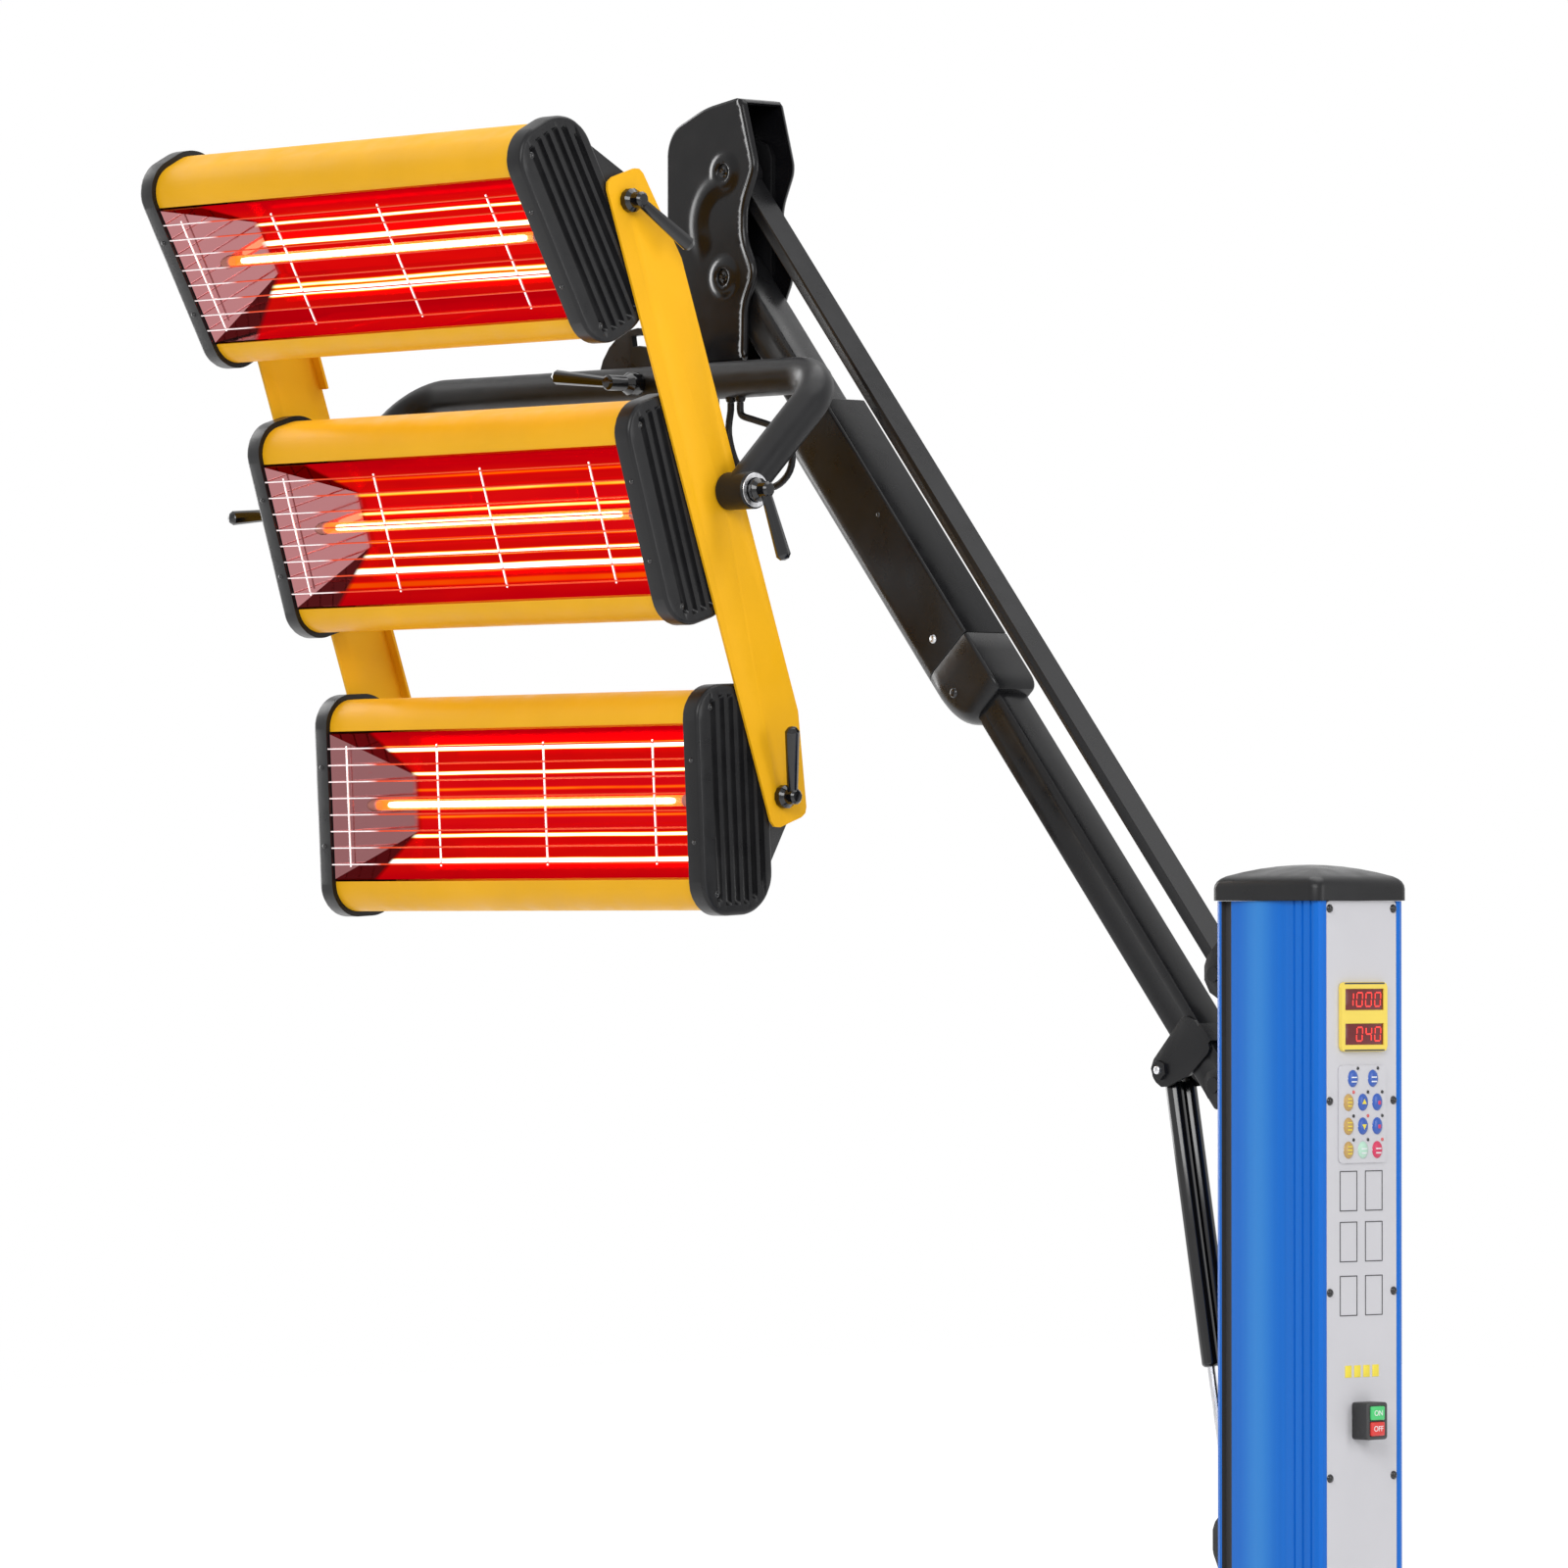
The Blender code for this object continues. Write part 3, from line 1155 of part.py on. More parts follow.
def head_block():
    """A steel channel between the covers, with the two pivot pins across it."""
    back = HEAD_FRONT - HEAD_BLOCK_DEPTH
    outside = HEAD_PLATE_INSIDE + HEAD_SHEET
    height = HEAD_BLOCK_ABOVE + HEAD_BLOCK_BELOW
    middle = (HEAD_BLOCK_ABOVE - HEAD_BLOCK_BELOW) / 2
    web_size = (HEAD_BLOCK_DEPTH, 2 * outside, height)
    web_x = -HEAD_FRONT + HEAD_BLOCK_DEPTH / 2 + OVERRUN
    block = new_object("head_block", box_mesh(web_size), HEAD, moved((web_x, 0, middle)))
    reach = PIVOT_RADIUS * 2.5
    plate = [
        (-back - OVERRUN, HEAD_BLOCK_ABOVE, 0),
        (reach, HEAD_BLOCK_ABOVE, reach),
        (reach, -reach, reach * 0.9),
        (-back + reach, -HEAD_BLOCK_BELOW, reach),
        (-back - OVERRUN, -HEAD_BLOCK_BELOW, 0),
    ]
    plate_mesh = outline_mesh([rounded_corners(plate)], HEAD_SHEET)
    for side in (-1, 1):
        y = side * (HEAD_PLATE_INSIDE + HEAD_SHEET / 2)
        fuse(block, plate_mesh, moved((0, y, 0), STAND_XZ))
    for z in (0, LINK_RISE):
        fuse(block, rod_mesh(PIVOT_RADIUS, 2 * outside), moved((0, -outside, z), ALONG_Y))
    finished(block, LOOK_ARM)


def cover_outline():
    """The moulded cover seen from the side: a bulge round each pivot and a waist between them."""
    front = -HEAD_FRONT
    outline = [
        (front, -HEAD_FRONT, COVER_ROUND / 3),
        (COVER_WAIST, -HEAD_FRONT, COVER_ROUND / 4),
        (COVER_BACK, -COVER_ROUND, COVER_ROUND),
        (COVER_BULGE, COVER_LIP_RADIUS, COVER_ROUND / 2),
        (COVER_WAIST, LINK_RISE * 0.36, COVER_ROUND / 2),
        (COVER_WAIST, LINK_RISE * 0.66, COVER_ROUND / 2),
        (COVER_BULGE, LINK_RISE + COVER_LIP_RADIUS, COVER_ROUND / 2),
        (COVER_WAIST - COVER_LIP_RADIUS, COVER_TOP - COVER_LIP_RADIUS, COVER_ROUND / 3),
        (COVER_WAIST - COVER_ROUND / 2, COVER_TOP, COVER_ROUND / 3),
        (-COVER_ROUND, COVER_TOP - COVER_ROUND / 4, COVER_ROUND),
        (front + COVER_ROUND / 3, COVER_TOP - COVER_ROUND * 0.9, COVER_ROUND / 2),
        (front, LINK_RISE + COVER_ROUND, COVER_ROUND / 2),
    ]
    return rounded_corners(outline)


def crown_outline(outline):
    """A strip inside the top of the cover's outline, which closes the head between the covers."""
    outer = [point for point in outline if point[1] > COVER_TOP - CROWN_DROP]
    centre_x = (COVER_WAIST - HEAD_FRONT) / 2
    centre_z = COVER_TOP - CROWN_DROP - COVER_ROUND
    inner = []
    for x, z in outer:
        away = Vector((x - centre_x, z - centre_z))
        near = away * (1 - COVER_THICKNESS / away.length)
        inner.append((centre_x + near.x, centre_z + near.y))
    return outer + list(reversed(inner))


def head_covers():
    outline = cover_outline()
    sheet = outline_mesh([outline], COVER_THICKNESS)
    outside = COVER_INSIDE + COVER_THICKNESS
    # the rolled lip follows the rear edge, from the lower back corner over both bulges
    rear = [point for point in outline if point[0] > 0 and point[1] > -HEAD_FRONT * 0.9]
    crown_width = outside - COVER_LIP_RADIUS - FIT_GAP / 2
    crown = outline_mesh([crown_outline(outline)], crown_width)
    boss = rod_mesh(BOSS_RADIUS, BOSS_HEIGHT + COVER_LIP_RADIUS, BOSS_SIDES, BOSS_TOP_RADIUS)
    recess = rod_mesh(BOSS_RECESS_RADIUS, BOSS_RECESS_DEPTH + OVERRUN)
    steps = 6
    raised = arc((0, 0), EMBOSS_RADIUS, EMBOSS_START, EMBOSS_END, steps)
    raised += arc((0, 0), EMBOSS_RADIUS - EMBOSS_WIDTH, EMBOSS_END, EMBOSS_START, steps)
    emboss = outline_mesh([raised], 2 * EMBOSS_HEIGHT)
    for name, side, turn in (("head_cover_near", -1, ALONG_MINUS_Y), ("head_cover_far", 1, ALONG_Y)):
        y = side * (COVER_INSIDE + COVER_THICKNESS / 2)
        cover = new_object(name, sheet.copy(), HEAD, moved((0, y, 0), STAND_XZ))
        crown_y = side * (FIT_GAP / 2 + crown_width / 2)
        fuse(cover, crown, moved((0, crown_y, 0), STAND_XZ))
        lip = tube_mesh([(x, side * outside, z) for x, z in rear], COVER_LIP_RADIUS, 0)
        fuse(cover, lip, moved())
        fuse(cover, emboss, moved((0, side * outside, EMBOSS_RISE), STAND_XZ))
        bosses = []
        dents = []
        for z in (0, LINK_RISE):
            boss_place = (0, side * (outside - COVER_LIP_RADIUS), z)
            bosses.append((boss, moved(boss_place, turn)))
            dent_place = (0, side * (outside + BOSS_HEIGHT - BOSS_RECESS_DEPTH), z)
            dents.append((recess, moved(dent_place, turn)))
        fuse(cover, joined_mesh(bosses), moved())
        cut(cover, joined_mesh(dents), moved())
        finished(cover, LOOK_ARM)


PAN = joint_empty("pan_axis", HEAD, (-SWIVEL_AHEAD, 0, 0))


def swivel_arm():
    """A turntable under the head and an arm to a flange, slotted for the yoke's lock lever."""
    table_top = -HEAD_BLOCK_BELOW - FIT_GAP
    table = new_object(
        "swivel_arm",
        rod_mesh(TURNTABLE_RADIUS, TURNTABLE_HEIGHT, BOSS_SIDES),
        PAN,
        moved((0, 0, table_top - TURNTABLE_HEIGHT)),
    )
    post_height = SWIVEL_DROP + table_top + SWIVEL_ARM_HEIGHT / 2 - TURNTABLE_HEIGHT / 2
    post_radius = TURNTABLE_RADIUS * 0.75
    fuse(table, rod_mesh(post_radius, post_height), moved((0, 0, -SWIVEL_DROP - SWIVEL_ARM_HEIGHT / 2)))
    flange_back = YOKE_FORWARD - YOKE_RADIUS - YOKE_PLATE_THICKNESS - FIT_GAP - FLANGE_THICKNESS
    arm_size = (SWIVEL_ARM_WIDTH, flange_back + OVERRUN, SWIVEL_ARM_HEIGHT)
    fuse(table, box_mesh(arm_size), moved((0, -(flange_back + OVERRUN) / 2, -SWIVEL_DROP)))
    disc = rounded_box(2 * FLANGE_RADIUS, 2 * FLANGE_RADIUS, FLANGE_RADIUS * 0.999, (0, 0), 2 * CORNER_STEPS)
    inner = SLOT_RADIUS - SLOT_WIDTH / 2
    outer = SLOT_RADIUS + SLOT_WIDTH / 2
    slot = arc((0, 0), outer, -SLOT_HALF_ANGLE, SLOT_HALF_ANGLE, SLOT_STEPS)
    slot += arc((0, 0), inner, SLOT_HALF_ANGLE, -SLOT_HALF_ANGLE, SLOT_STEPS)
    disc_mesh = outline_mesh([disc, slot], FLANGE_THICKNESS)
    disc_place = moved((0, -flange_back - FLANGE_THICKNESS / 2, -SWIVEL_DROP), STAND_XZ)
    fuse(table, disc_mesh, disc_place)
    finished(table, LOOK_ARM)


ROLL = joint_empty("roll_axis", PAN, (0, -YOKE_FORWARD, -SWIVEL_DROP))


def yoke():
    """A bent tube: a web across the top and two arms that drop forward to the bosses."""
    drop = TILT_DROP - SWIVEL_DROP
    forward = TILT_FORWARD - YOKE_FORWARD
    route = [
        (-YOKE_HALF_WIDTH, -forward, -drop),
        (-YOKE_HALF_WIDTH, 0, 0),
        (YOKE_HALF_WIDTH, 0, 0),
        (YOKE_HALF_WIDTH, -forward, -drop),
    ]
    tube = tube_mesh(filleted_route(route, YOKE_BEND, 4), YOKE_RADIUS)
    piece = new_object("yoke", tube, ROLL, moved())
    boss_start = BAR_OUTSIDE + RUN_GAP
    bore = rod_mesh(MIDDLE_STUD_RADIUS + PIN_GAP, YOKE_BOSS_LENGTH + 2 * OVERRUN + YOKE_RADIUS)
    boss = rod_mesh(YOKE_BOSS_RADIUS + OVERRUN, YOKE_BOSS_LENGTH, BOSS_SIDES)
    bosses = []
    bores = []
    for side, turn in ((-1, ALONG_MINUS_X), (1, ALONG_X)):
        bosses.append((boss, moved((side * boss_start, -forward, -drop), turn)))
        bores.append((bore, moved((side * (boss_start - OVERRUN), -forward, -drop), turn)))
    fuse(piece, joined_mesh(bosses), moved())
    plate_size = (YOKE_PLATE_WIDTH, YOKE_PLATE_THICKNESS + YOKE_RADIUS, YOKE_PLATE_HEIGHT)
    plate_y = (YOKE_PLATE_THICKNESS + YOKE_RADIUS) / 2
    fuse(piece, box_mesh(plate_size), moved((0, plate_y, 0)))
    gland = rod_mesh(GLAND_NOSE_RADIUS, GLAND_LENGTH + YOKE_RADIUS / 2, ROUND_SIDES, GLAND_RADIUS)
    glands = [(gland, moved((x, 0, -YOKE_RADIUS - GLAND_LENGTH))) for x in LEAD_ENDS]
    fuse(piece, joined_mesh(glands), moved())
    stud_hole = rod_mesh(LOCK_STUD_RADIUS + PIN_GAP, 4 * YOKE_RADIUS)
    cut(piece, stud_hole, moved((SLOT_RADIUS, -2 * YOKE_RADIUS, 0), ALONG_Y))
    cut(piece, joined_mesh(bores), moved())
    finished(piece, LOOK_STEEL_BLACK)


def yoke_lead():
    """A loop of lead that leaves one gland under the yoke's web and goes back into the other."""
    top = -YOKE_RADIUS - GLAND_LENGTH - FIT_GAP
    first, last = LEAD_ENDS
    route = [(first, 0, top), (first, 0, top - LEAD_END_DROP)]
    route += [(x, 0, z) for x, z in LEAD_POINTS]
    route += [(last, 0, top - LEAD_END_DROP), (last, 0, top)]
    lead = tube_mesh(smooth_route(route), LEAD_RADIUS, 2)
    finished(new_object("yoke_lead", lead, ROLL, moved()), LOOK_LEAD)


def lever_mesh(hub_length, stud=(0.0, 0.0)):
    """A clamp lever: a tapered hub along +Z, a raked handle along +X, and its stud below the hub."""
    top = hub_length
    hub = [
        (0, top),
        (LEVER_NECK_RADIUS * 0.7, top),
        (LEVER_NECK_RADIUS, top - LEVER_NECK_RADIUS * 0.3),
        (LEVER_NECK_RADIUS, top * 0.45),
        (LEVER_HUB_RADIUS, top * 0.3),
        (LEVER_HUB_RADIUS, 0),
    ]
    stud_radius, stud_length = stud
    if stud_length:
        hub += [(stud_radius, 0), (stud_radius, -stud_length), (0, -stud_length)]
    else:
        hub += [(0, 0)]
    blank = bpy.data.objects.new("lever", turned_mesh(hub))
    PARTS.objects.link(blank)
    handle = [
        (0, LEVER_LENGTH),
        (LEVER_TIP_RADIUS * 0.6, LEVER_LENGTH - LEVER_TIP_RADIUS * 0.15),
        (LEVER_TIP_RADIUS, LEVER_LENGTH - LEVER_TIP_RADIUS * 0.7),
        (LEVER_ROOT_RADIUS, LEVER_NECK_RADIUS),
        (LEVER_ROOT_RADIUS, 0),
        (0, 0),
    ]
    turn = (0, math.pi / 2 - LEVER_RAKE, 0)
    arm_height = top - LEVER_ROOT_RADIUS - LEVER_NECK_RADIUS * 0.3
    fuse(blank, turned_mesh(handle, LEVER_SIDES), moved((0, 0, arm_height), turn))
    return as_mesh(blank)


def lever(name, parent, place, turn, hub_length, stud=(0.0, 0.0)):
    axis = joint_empty(name + "_axis", parent, place)
    axis.matrix_local = Matrix.Translation(Vector(place)) @ turn
    finished(new_object(name, lever_mesh(hub_length, stud), axis, moved()), LOOK_PLASTIC_BLACK)


def facing(axis, handle):
    """A rotation whose Z points along the axis and whose X points along the handle."""
    z = Vector(axis).normalized()
    x = Vector(handle)
    x = (x - z * x.dot(z)).normalized()
    y = z.cross(x)
    return Matrix((x, y, z)).transposed().to_4x4()


FRAME = joint_empty(
    "frame_axis",
    ROLL,
    (0, YOKE_FORWARD - TILT_FORWARD, SWIVEL_DROP - TILT_DROP),
    (FRAME_TILT, 0, 0),
)


def side_bar(name, side):
    corner = BAR_CORNER
    outline = [
        (-BAR_FRONT, -BAR_HALF_LENGTH, corner),
        (-BAR_END_REAR, -BAR_HALF_LENGTH, corner),
        (BAR_REAR, -BAR_CHAMFER_START, corner),
        (BAR_REAR, BAR_CHAMFER_START, corner),
        (-BAR_END_REAR, BAR_HALF_LENGTH, corner),
        (-BAR_FRONT, BAR_HALF_LENGTH, corner),
    ]
    holes = []
    pivots = (
        (-CASSETTE_FORWARD, CASSETTE_SPACING, STUD_RADIUS),
        (0, 0, MIDDLE_STUD_RADIUS),
        (-CASSETTE_FORWARD, -CASSETTE_SPACING, STUD_RADIUS),
    )
    for y, z, radius in pivots:
        holes.append(arc((y, z), radius + PIN_GAP, 0, 2 * math.pi * (1 - 1 / ROUND_SIDES), ROUND_SIDES - 1))
    x = side * (BAR_INSIDE + BAR_SHEET / 2)
    plate = outline_mesh([rounded_corners(outline)] + holes, BAR_SHEET)
    bar = new_object(name, plate, FRAME, moved((x, 0, 0), STAND_YZ))
    flange = box_mesh((BAR_FLANGE + BAR_SHEET / 2, BAR_SHEET, BAR_FLANGE_LENGTH))
    flange_x = side * (BAR_INSIDE + BAR_SHEET / 2 - (BAR_FLANGE + BAR_SHEET / 2) / 2)
    flange_y = BAR_REAR - BAR_SHEET / 2
    flanges = []
    for end in (-1, 1):
        flange_z = end * (BAR_CHAMFER_START - corner / 2 - BAR_FLANGE_LENGTH / 2)
        flanges.append((flange, Matrix.Translation((flange_x, flange_y, flange_z))))
    fuse(bar, joined_mesh(flanges), moved())
    finished(bar, LOOK_YELLOW)


def shell_mesh():
    """The cassette's wrap: a rounded C section, open to the front, extruded along its length."""
    lip = SHELL_LIP
    front = -CASSETTE_FRONT
    back = -CASSETTE_BACK
    high = SHELL_HALF_HEIGHT
    wall = SHELL_SHEET
    section = [
        (front, lip, 0),
        (front, high, SHELL_FRONT_CORNER),
        (back, high, SHELL_CORNER),
        (back, -high, SHELL_CORNER),
        (front, -high, SHELL_FRONT_CORNER),
        (front, -lip, 0),
        (front + wall, -lip, 0),
        (front + wall, -high + wall, SHELL_FRONT_CORNER - wall),
        (back - wall, -high + wall, SHELL_CORNER - wall),
        (back - wall, high - wall, SHELL_CORNER - wall),
        (front + wall, high - wall, SHELL_FRONT_CORNER - wall),
        (front + wall, lip, 0),
    ]
    return outline_mesh([rounded_corners(section, CORNER_STEPS)], OPENING_LENGTH)


def groove_reach(y, front, back):
    """How far up a groove runs at this depth, to stay inside the cap's rounded outline."""
    high = CAP_HALF_HEIGHT
    from_front = (CAP_FRONT_CORNER, front + CAP_FRONT_CORNER - y)
    from_back = (CAP_BACK_CORNER, y - back + CAP_BACK_CORNER)
    for corner, into in (from_front, from_back):
        if into > 0:
            return high - corner + math.sqrt((corner - RIB_INSET) ** 2 - into ** 2)
    return high - RIB_INSET


def cap_mesh(side):
    """An end cap: a stadium-like plate with a rear lug, its outer face cut into upright ribs."""
    front = -CASSETTE_FRONT - CAP_STEP
    back = -CASSETTE_BACK + CAP_STEP
    high = CAP_HALF_HEIGHT
    outline = [
        (front, -high, CAP_FRONT_CORNER),
        (back, -high, CAP_BACK_CORNER),
        (back, high, CAP_BACK_CORNER),
        (front, high, CAP_FRONT_CORNER),
    ]
    start = OPENING_LENGTH / 2 + FIT_GAP
    middle = start + CAP_THICKNESS / 2
    plate = outline_mesh([rounded_corners(outline, CORNER_STEPS)], CAP_THICKNESS)
    blank = new_object("cap", plate, None, moved((side * middle, 0, 0), STAND_YZ))
    lug_depth = CAP_THICKNESS - RIB_HEIGHT - 2 * RUN_GAP
    lug = lug_outline(back)
    lug_middle = start + RUN_GAP + lug_depth / 2
    fuse(blank, outline_mesh([lug], lug_depth), moved((side * lug_middle, 0, 0), STAND_YZ))
    width = RIB_PITCH - RIB_WIDTH
    grooves = []
    first = (front + back) / 2 + RIB_SHIFT - (RIB_COUNT - 2) * RIB_PITCH / 2
    for i in range(RIB_COUNT - 1):
        y = first + i * RIB_PITCH
        reach = groove_reach(y, front, back)
        grooves.append(rounded_box(width, 2 * reach, width * 0.4, (y, 0), 1))
    outer = side * (start + CAP_THICKNESS)
    cut(blank, outline_mesh(grooves, 2 * RIB_HEIGHT), moved((outer, 0, 0), STAND_YZ))
    return as_mesh(blank)


def lug_outline(root):
    """The lug behind a cap: a triangle that narrows to a round end about the pivot."""
    reach = math.hypot(root, LUG_ROOT)
    lean = math.acos(LUG_RADIUS / reach)
    start = math.atan2(LUG_ROOT, root)
    touch = start - lean
    points = [(root - CAP_STEP, LUG_ROOT - CAP_STEP)]
    points += arc((0, 0), LUG_RADIUS, touch, -touch, 2 * CORNER_STEPS)
    points += [(root - CAP_STEP, CAP_STEP - LUG_ROOT)]
    return points


def trough_mesh():
    """A tapered tray, open to the front, with a hole in each sloping end for the emitter."""
    mesh = bpy.data.meshes.new("trough")
    work = bmesh.new()
    bmesh.ops.create_cube(work, size=1.0)
    front_length = OPENING_LENGTH - 2 * FIT_GAP
    for vert in work.verts:
        is_front = vert.co.y < 0
        length = front_length if is_front else TROUGH_LENGTH
        height = OPENING_HEIGHT if is_front else TROUGH_BACK_HEIGHT
        vert.co.x *= length
        vert.co.z *= height
        vert.co.y = 0 if is_front else TROUGH_DEPTH
    front = [face for face in work.faces if all(v.co.y == 0 for v in face.verts)]
    bmesh.ops.delete(work, geom=front, context="FACES_ONLY")
    work.to_mesh(mesh)
    work.free()
    blank = new_object("trough", mesh, None, moved((0, -CASSETTE_FRONT, 0)))
    sheet = blank.modifiers.new("sheet", "SOLIDIFY")
    sheet.thickness = TROUGH_SHEET
    sheet.offset = -1
    sheet.use_even_offset = True
    hole = rod_mesh(EMITTER_RADIUS + PIN_GAP, OPENING_LENGTH + 2 * OVERRUN)
    depth = -CASSETTE_FRONT + EMITTER_DEPTH
    cut(blank, hole, moved((-OPENING_LENGTH / 2 - OVERRUN, depth, 0), ALONG_X))
    return as_mesh(blank)


def guard_mesh():
    """Long wires across the opening and cross wires behind them, all one welded grid."""
    length = OPENING_LENGTH
    wire = rod_mesh(WIRE_RADIUS, length, WIRE_SIDES)
    y = -CASSETTE_FRONT - GUARD_PROUD
    long_wires = []
    for i in range(WIRE_COUNT):
        z = (i - (WIRE_COUNT - 1) / 2) * WIRE_PITCH
        long_wires.append((wire, moved((-length / 2, y, z), ALONG_X)))
    blank = new_object("guard", joined_mesh(long_wires), None, moved())
    reach = (WIRE_COUNT - 1) / 2 * WIRE_PITCH + 2 * WIRE_RADIUS
    cross = rod_mesh(WIRE_RADIUS, 2 * reach, WIRE_SIDES)
    span = length - 4 * WIRE_RADIUS
    cross_wires = []
    for i in range(CROSS_WIRE_COUNT):
        x = (i / (CROSS_WIRE_COUNT - 1) - 0.5) * span
        place = (x, y + WIRE_RADIUS * 1.4, -reach)
        cross_wires.append((cross, moved(place)))
    fuse(blank, joined_mesh(cross_wires), moved())
    return as_mesh(blank)


def emitter_mesh():
    half = EMITTER_LENGTH / 2
    profile = [
        (0, half),
        (EMITTER_RADIUS * 0.6, half),
        (EMITTER_RADIUS, half - EMITTER_RADIUS * 0.4),
        (EMITTER_RADIUS, -half + EMITTER_RADIUS * 0.4),
        (EMITTER_RADIUS * 0.6, -half),
        (0, -half),
    ]
    return turned_mesh(profile)


def cassettes():
    shell = shell_mesh()
    caps = {"left": cap_mesh(-1), "right": cap_mesh(1)}
    trough = trough_mesh()
    guard = guard_mesh()
    emitter = emitter_mesh()
    pivots = {
        "top": (-CASSETTE_FORWARD, CASSETTE_SPACING),
        "middle": (0, 0),
        "bottom": (-CASSETTE_FORWARD, -CASSETTE_SPACING),
    }
    cap_face = OPENING_LENGTH / 2 + FIT_GAP + CAP_THICKNESS
    for name, (y, z) in pivots.items():
        turn = CASSETTE_TILTS[name] - FRAME_TILT
        axis = joint_empty("cassette_axis_" + name, FRAME, (0, y, z), (turn, 0, 0))
        finished(new_object("shell_" + name, shell.copy(), axis, moved((0, 0, 0), STAND_YZ)), LOOK_YELLOW)
        finished(new_object("reflector_" + name, trough.copy(), axis, moved()), LOOK_MIRROR)
        finished(new_object("guard_" + name, guard.copy(), axis, moved()), LOOK_STEEL)
        tube_place = (0, -CASSETTE_FRONT + EMITTER_DEPTH, 0)
        finished(new_object("emitter_" + name, emitter.copy(), axis, moved(tube_place, ALONG_X)), LOOK_QUARTZ)
        is_middle = name == "middle"
        radius = MIDDLE_STUD_RADIUS if is_middle else STUD_RADIUS
        for side_name, side, along in (("left", -1, ALONG_MINUS_X), ("right", 1, ALONG_X)):
            cap = new_object("cap_" + side_name + "_" + name, caps[side_name].copy(), axis, moved())
            reach = YOKE_OUTSIDE if is_middle else BAR_OUTSIDE + FIT_GAP
            stud_start = cap_face - RIB_HEIGHT - OVERRUN
            has_bolt_head = side < 0 and not is_middle
            stud_end = reach + (BOLT_HEAD_HEIGHT / 2 if has_bolt_head else 0)
            stud = rod_mesh(radius, stud_end - stud_start)
            fuse(cap, stud, moved((side * stud_start, 0, 0), along))
            collar = rod_mesh(radius + COLLAR_WALL, BAR_INSIDE - FIT_GAP - stud_start)
            fuse(cap, collar, moved((side * stud_start, 0, 0), along))
            if has_bolt_head:
                head = rod_mesh(BOLT_HEAD_RADIUS, BOLT_HEAD_HEIGHT, 6)
                fuse(cap, head, moved((side * reach, 0, 0), along))
            finished(cap, LOOK_PLASTIC_BLACK)


def levers():
    right = Vector((1, 0, 0))
    web_face = YOKE_RADIUS + FIT_GAP
    stud = (LOCK_STUD_RADIUS, 2 * YOKE_RADIUS + YOKE_PLATE_THICKNESS + FLANGE_THICKNESS)
    lever(
        "yoke_lock_lever",
        ROLL,
        (SLOT_RADIUS, -web_face, 0),
        facing((0, -1, 0), LEVER_AIM_SHARES["yoke_lock_lever"]),
        TALL_HUB_LENGTH,
        stud,
    )
    forward = TILT_FORWARD - YOKE_FORWARD
    drop = TILT_DROP - SWIVEL_DROP
    outside = YOKE_OUTSIDE + FIT_GAP
    lever(
        "yoke_lever_right",
        ROLL,
        (outside, -forward, -drop),
        facing(right, LEVER_AIM_SHARES["yoke_lever_right"]),
        LEVER_HUB_LENGTH,
    )
    lever(
        "yoke_lever_left",
        ROLL,
        (-outside, -forward, -drop),
        facing(-right, LEVER_AIM_SHARES["yoke_lever_left"]),
        TALL_HUB_LENGTH,
    )
    bar_face = BAR_OUTSIDE + 2 * FIT_GAP
    lever(
        "top_cassette_lever",
        FRAME,
        (bar_face, -CASSETTE_FORWARD, CASSETTE_SPACING),
        facing(right, LEVER_AIM_SHARES["top_cassette_lever"]),
        LEVER_HUB_LENGTH,
    )
    lever(
        "bottom_cassette_lever",
        FRAME,
        (bar_face, -CASSETTE_FORWARD, -CASSETTE_SPACING),
        facing(right, LEVER_AIM_SHARES["bottom_cassette_lever"]),
        LEVER_HUB_LENGTH,
    )


base()
casters()
column()
control_panel()
switch()
rear_bracket()
main_arm()
upper_link()
arm_housing()
spring_bracket()
gas_springs()
head_block()
head_covers()
swivel_arm()
yoke()
yoke_lead()
side_bar("side_bar_left", -1)
side_bar("side_bar_right", 1)
cassettes()
levers()
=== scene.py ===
"""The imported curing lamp, dressed: materials on every solid, small parts, floor, light and camera."""
import json
import math

import bmesh
import bpy
from mathutils import Euler, Matrix, Vector
from mathutils.geometry import delaunay_2d_cdt


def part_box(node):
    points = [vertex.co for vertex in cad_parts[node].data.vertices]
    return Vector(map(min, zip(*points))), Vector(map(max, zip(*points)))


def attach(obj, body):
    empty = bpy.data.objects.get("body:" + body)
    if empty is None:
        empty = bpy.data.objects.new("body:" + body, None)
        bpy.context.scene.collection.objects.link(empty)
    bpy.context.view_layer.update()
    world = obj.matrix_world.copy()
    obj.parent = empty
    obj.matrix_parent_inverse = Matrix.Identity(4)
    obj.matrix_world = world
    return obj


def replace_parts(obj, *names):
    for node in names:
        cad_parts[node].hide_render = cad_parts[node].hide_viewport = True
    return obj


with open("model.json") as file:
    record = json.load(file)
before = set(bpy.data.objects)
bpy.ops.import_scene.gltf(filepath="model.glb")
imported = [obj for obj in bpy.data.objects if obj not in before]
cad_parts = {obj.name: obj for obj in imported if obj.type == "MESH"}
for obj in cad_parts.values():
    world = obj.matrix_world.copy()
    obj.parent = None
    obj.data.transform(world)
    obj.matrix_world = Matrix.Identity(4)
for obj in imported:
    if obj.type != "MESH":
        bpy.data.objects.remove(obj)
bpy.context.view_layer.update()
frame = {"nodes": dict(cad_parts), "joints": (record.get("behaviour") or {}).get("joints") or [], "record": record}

NODES = frame["nodes"]
JOINTS = {joint["name"]: joint for joint in frame["joints"]}

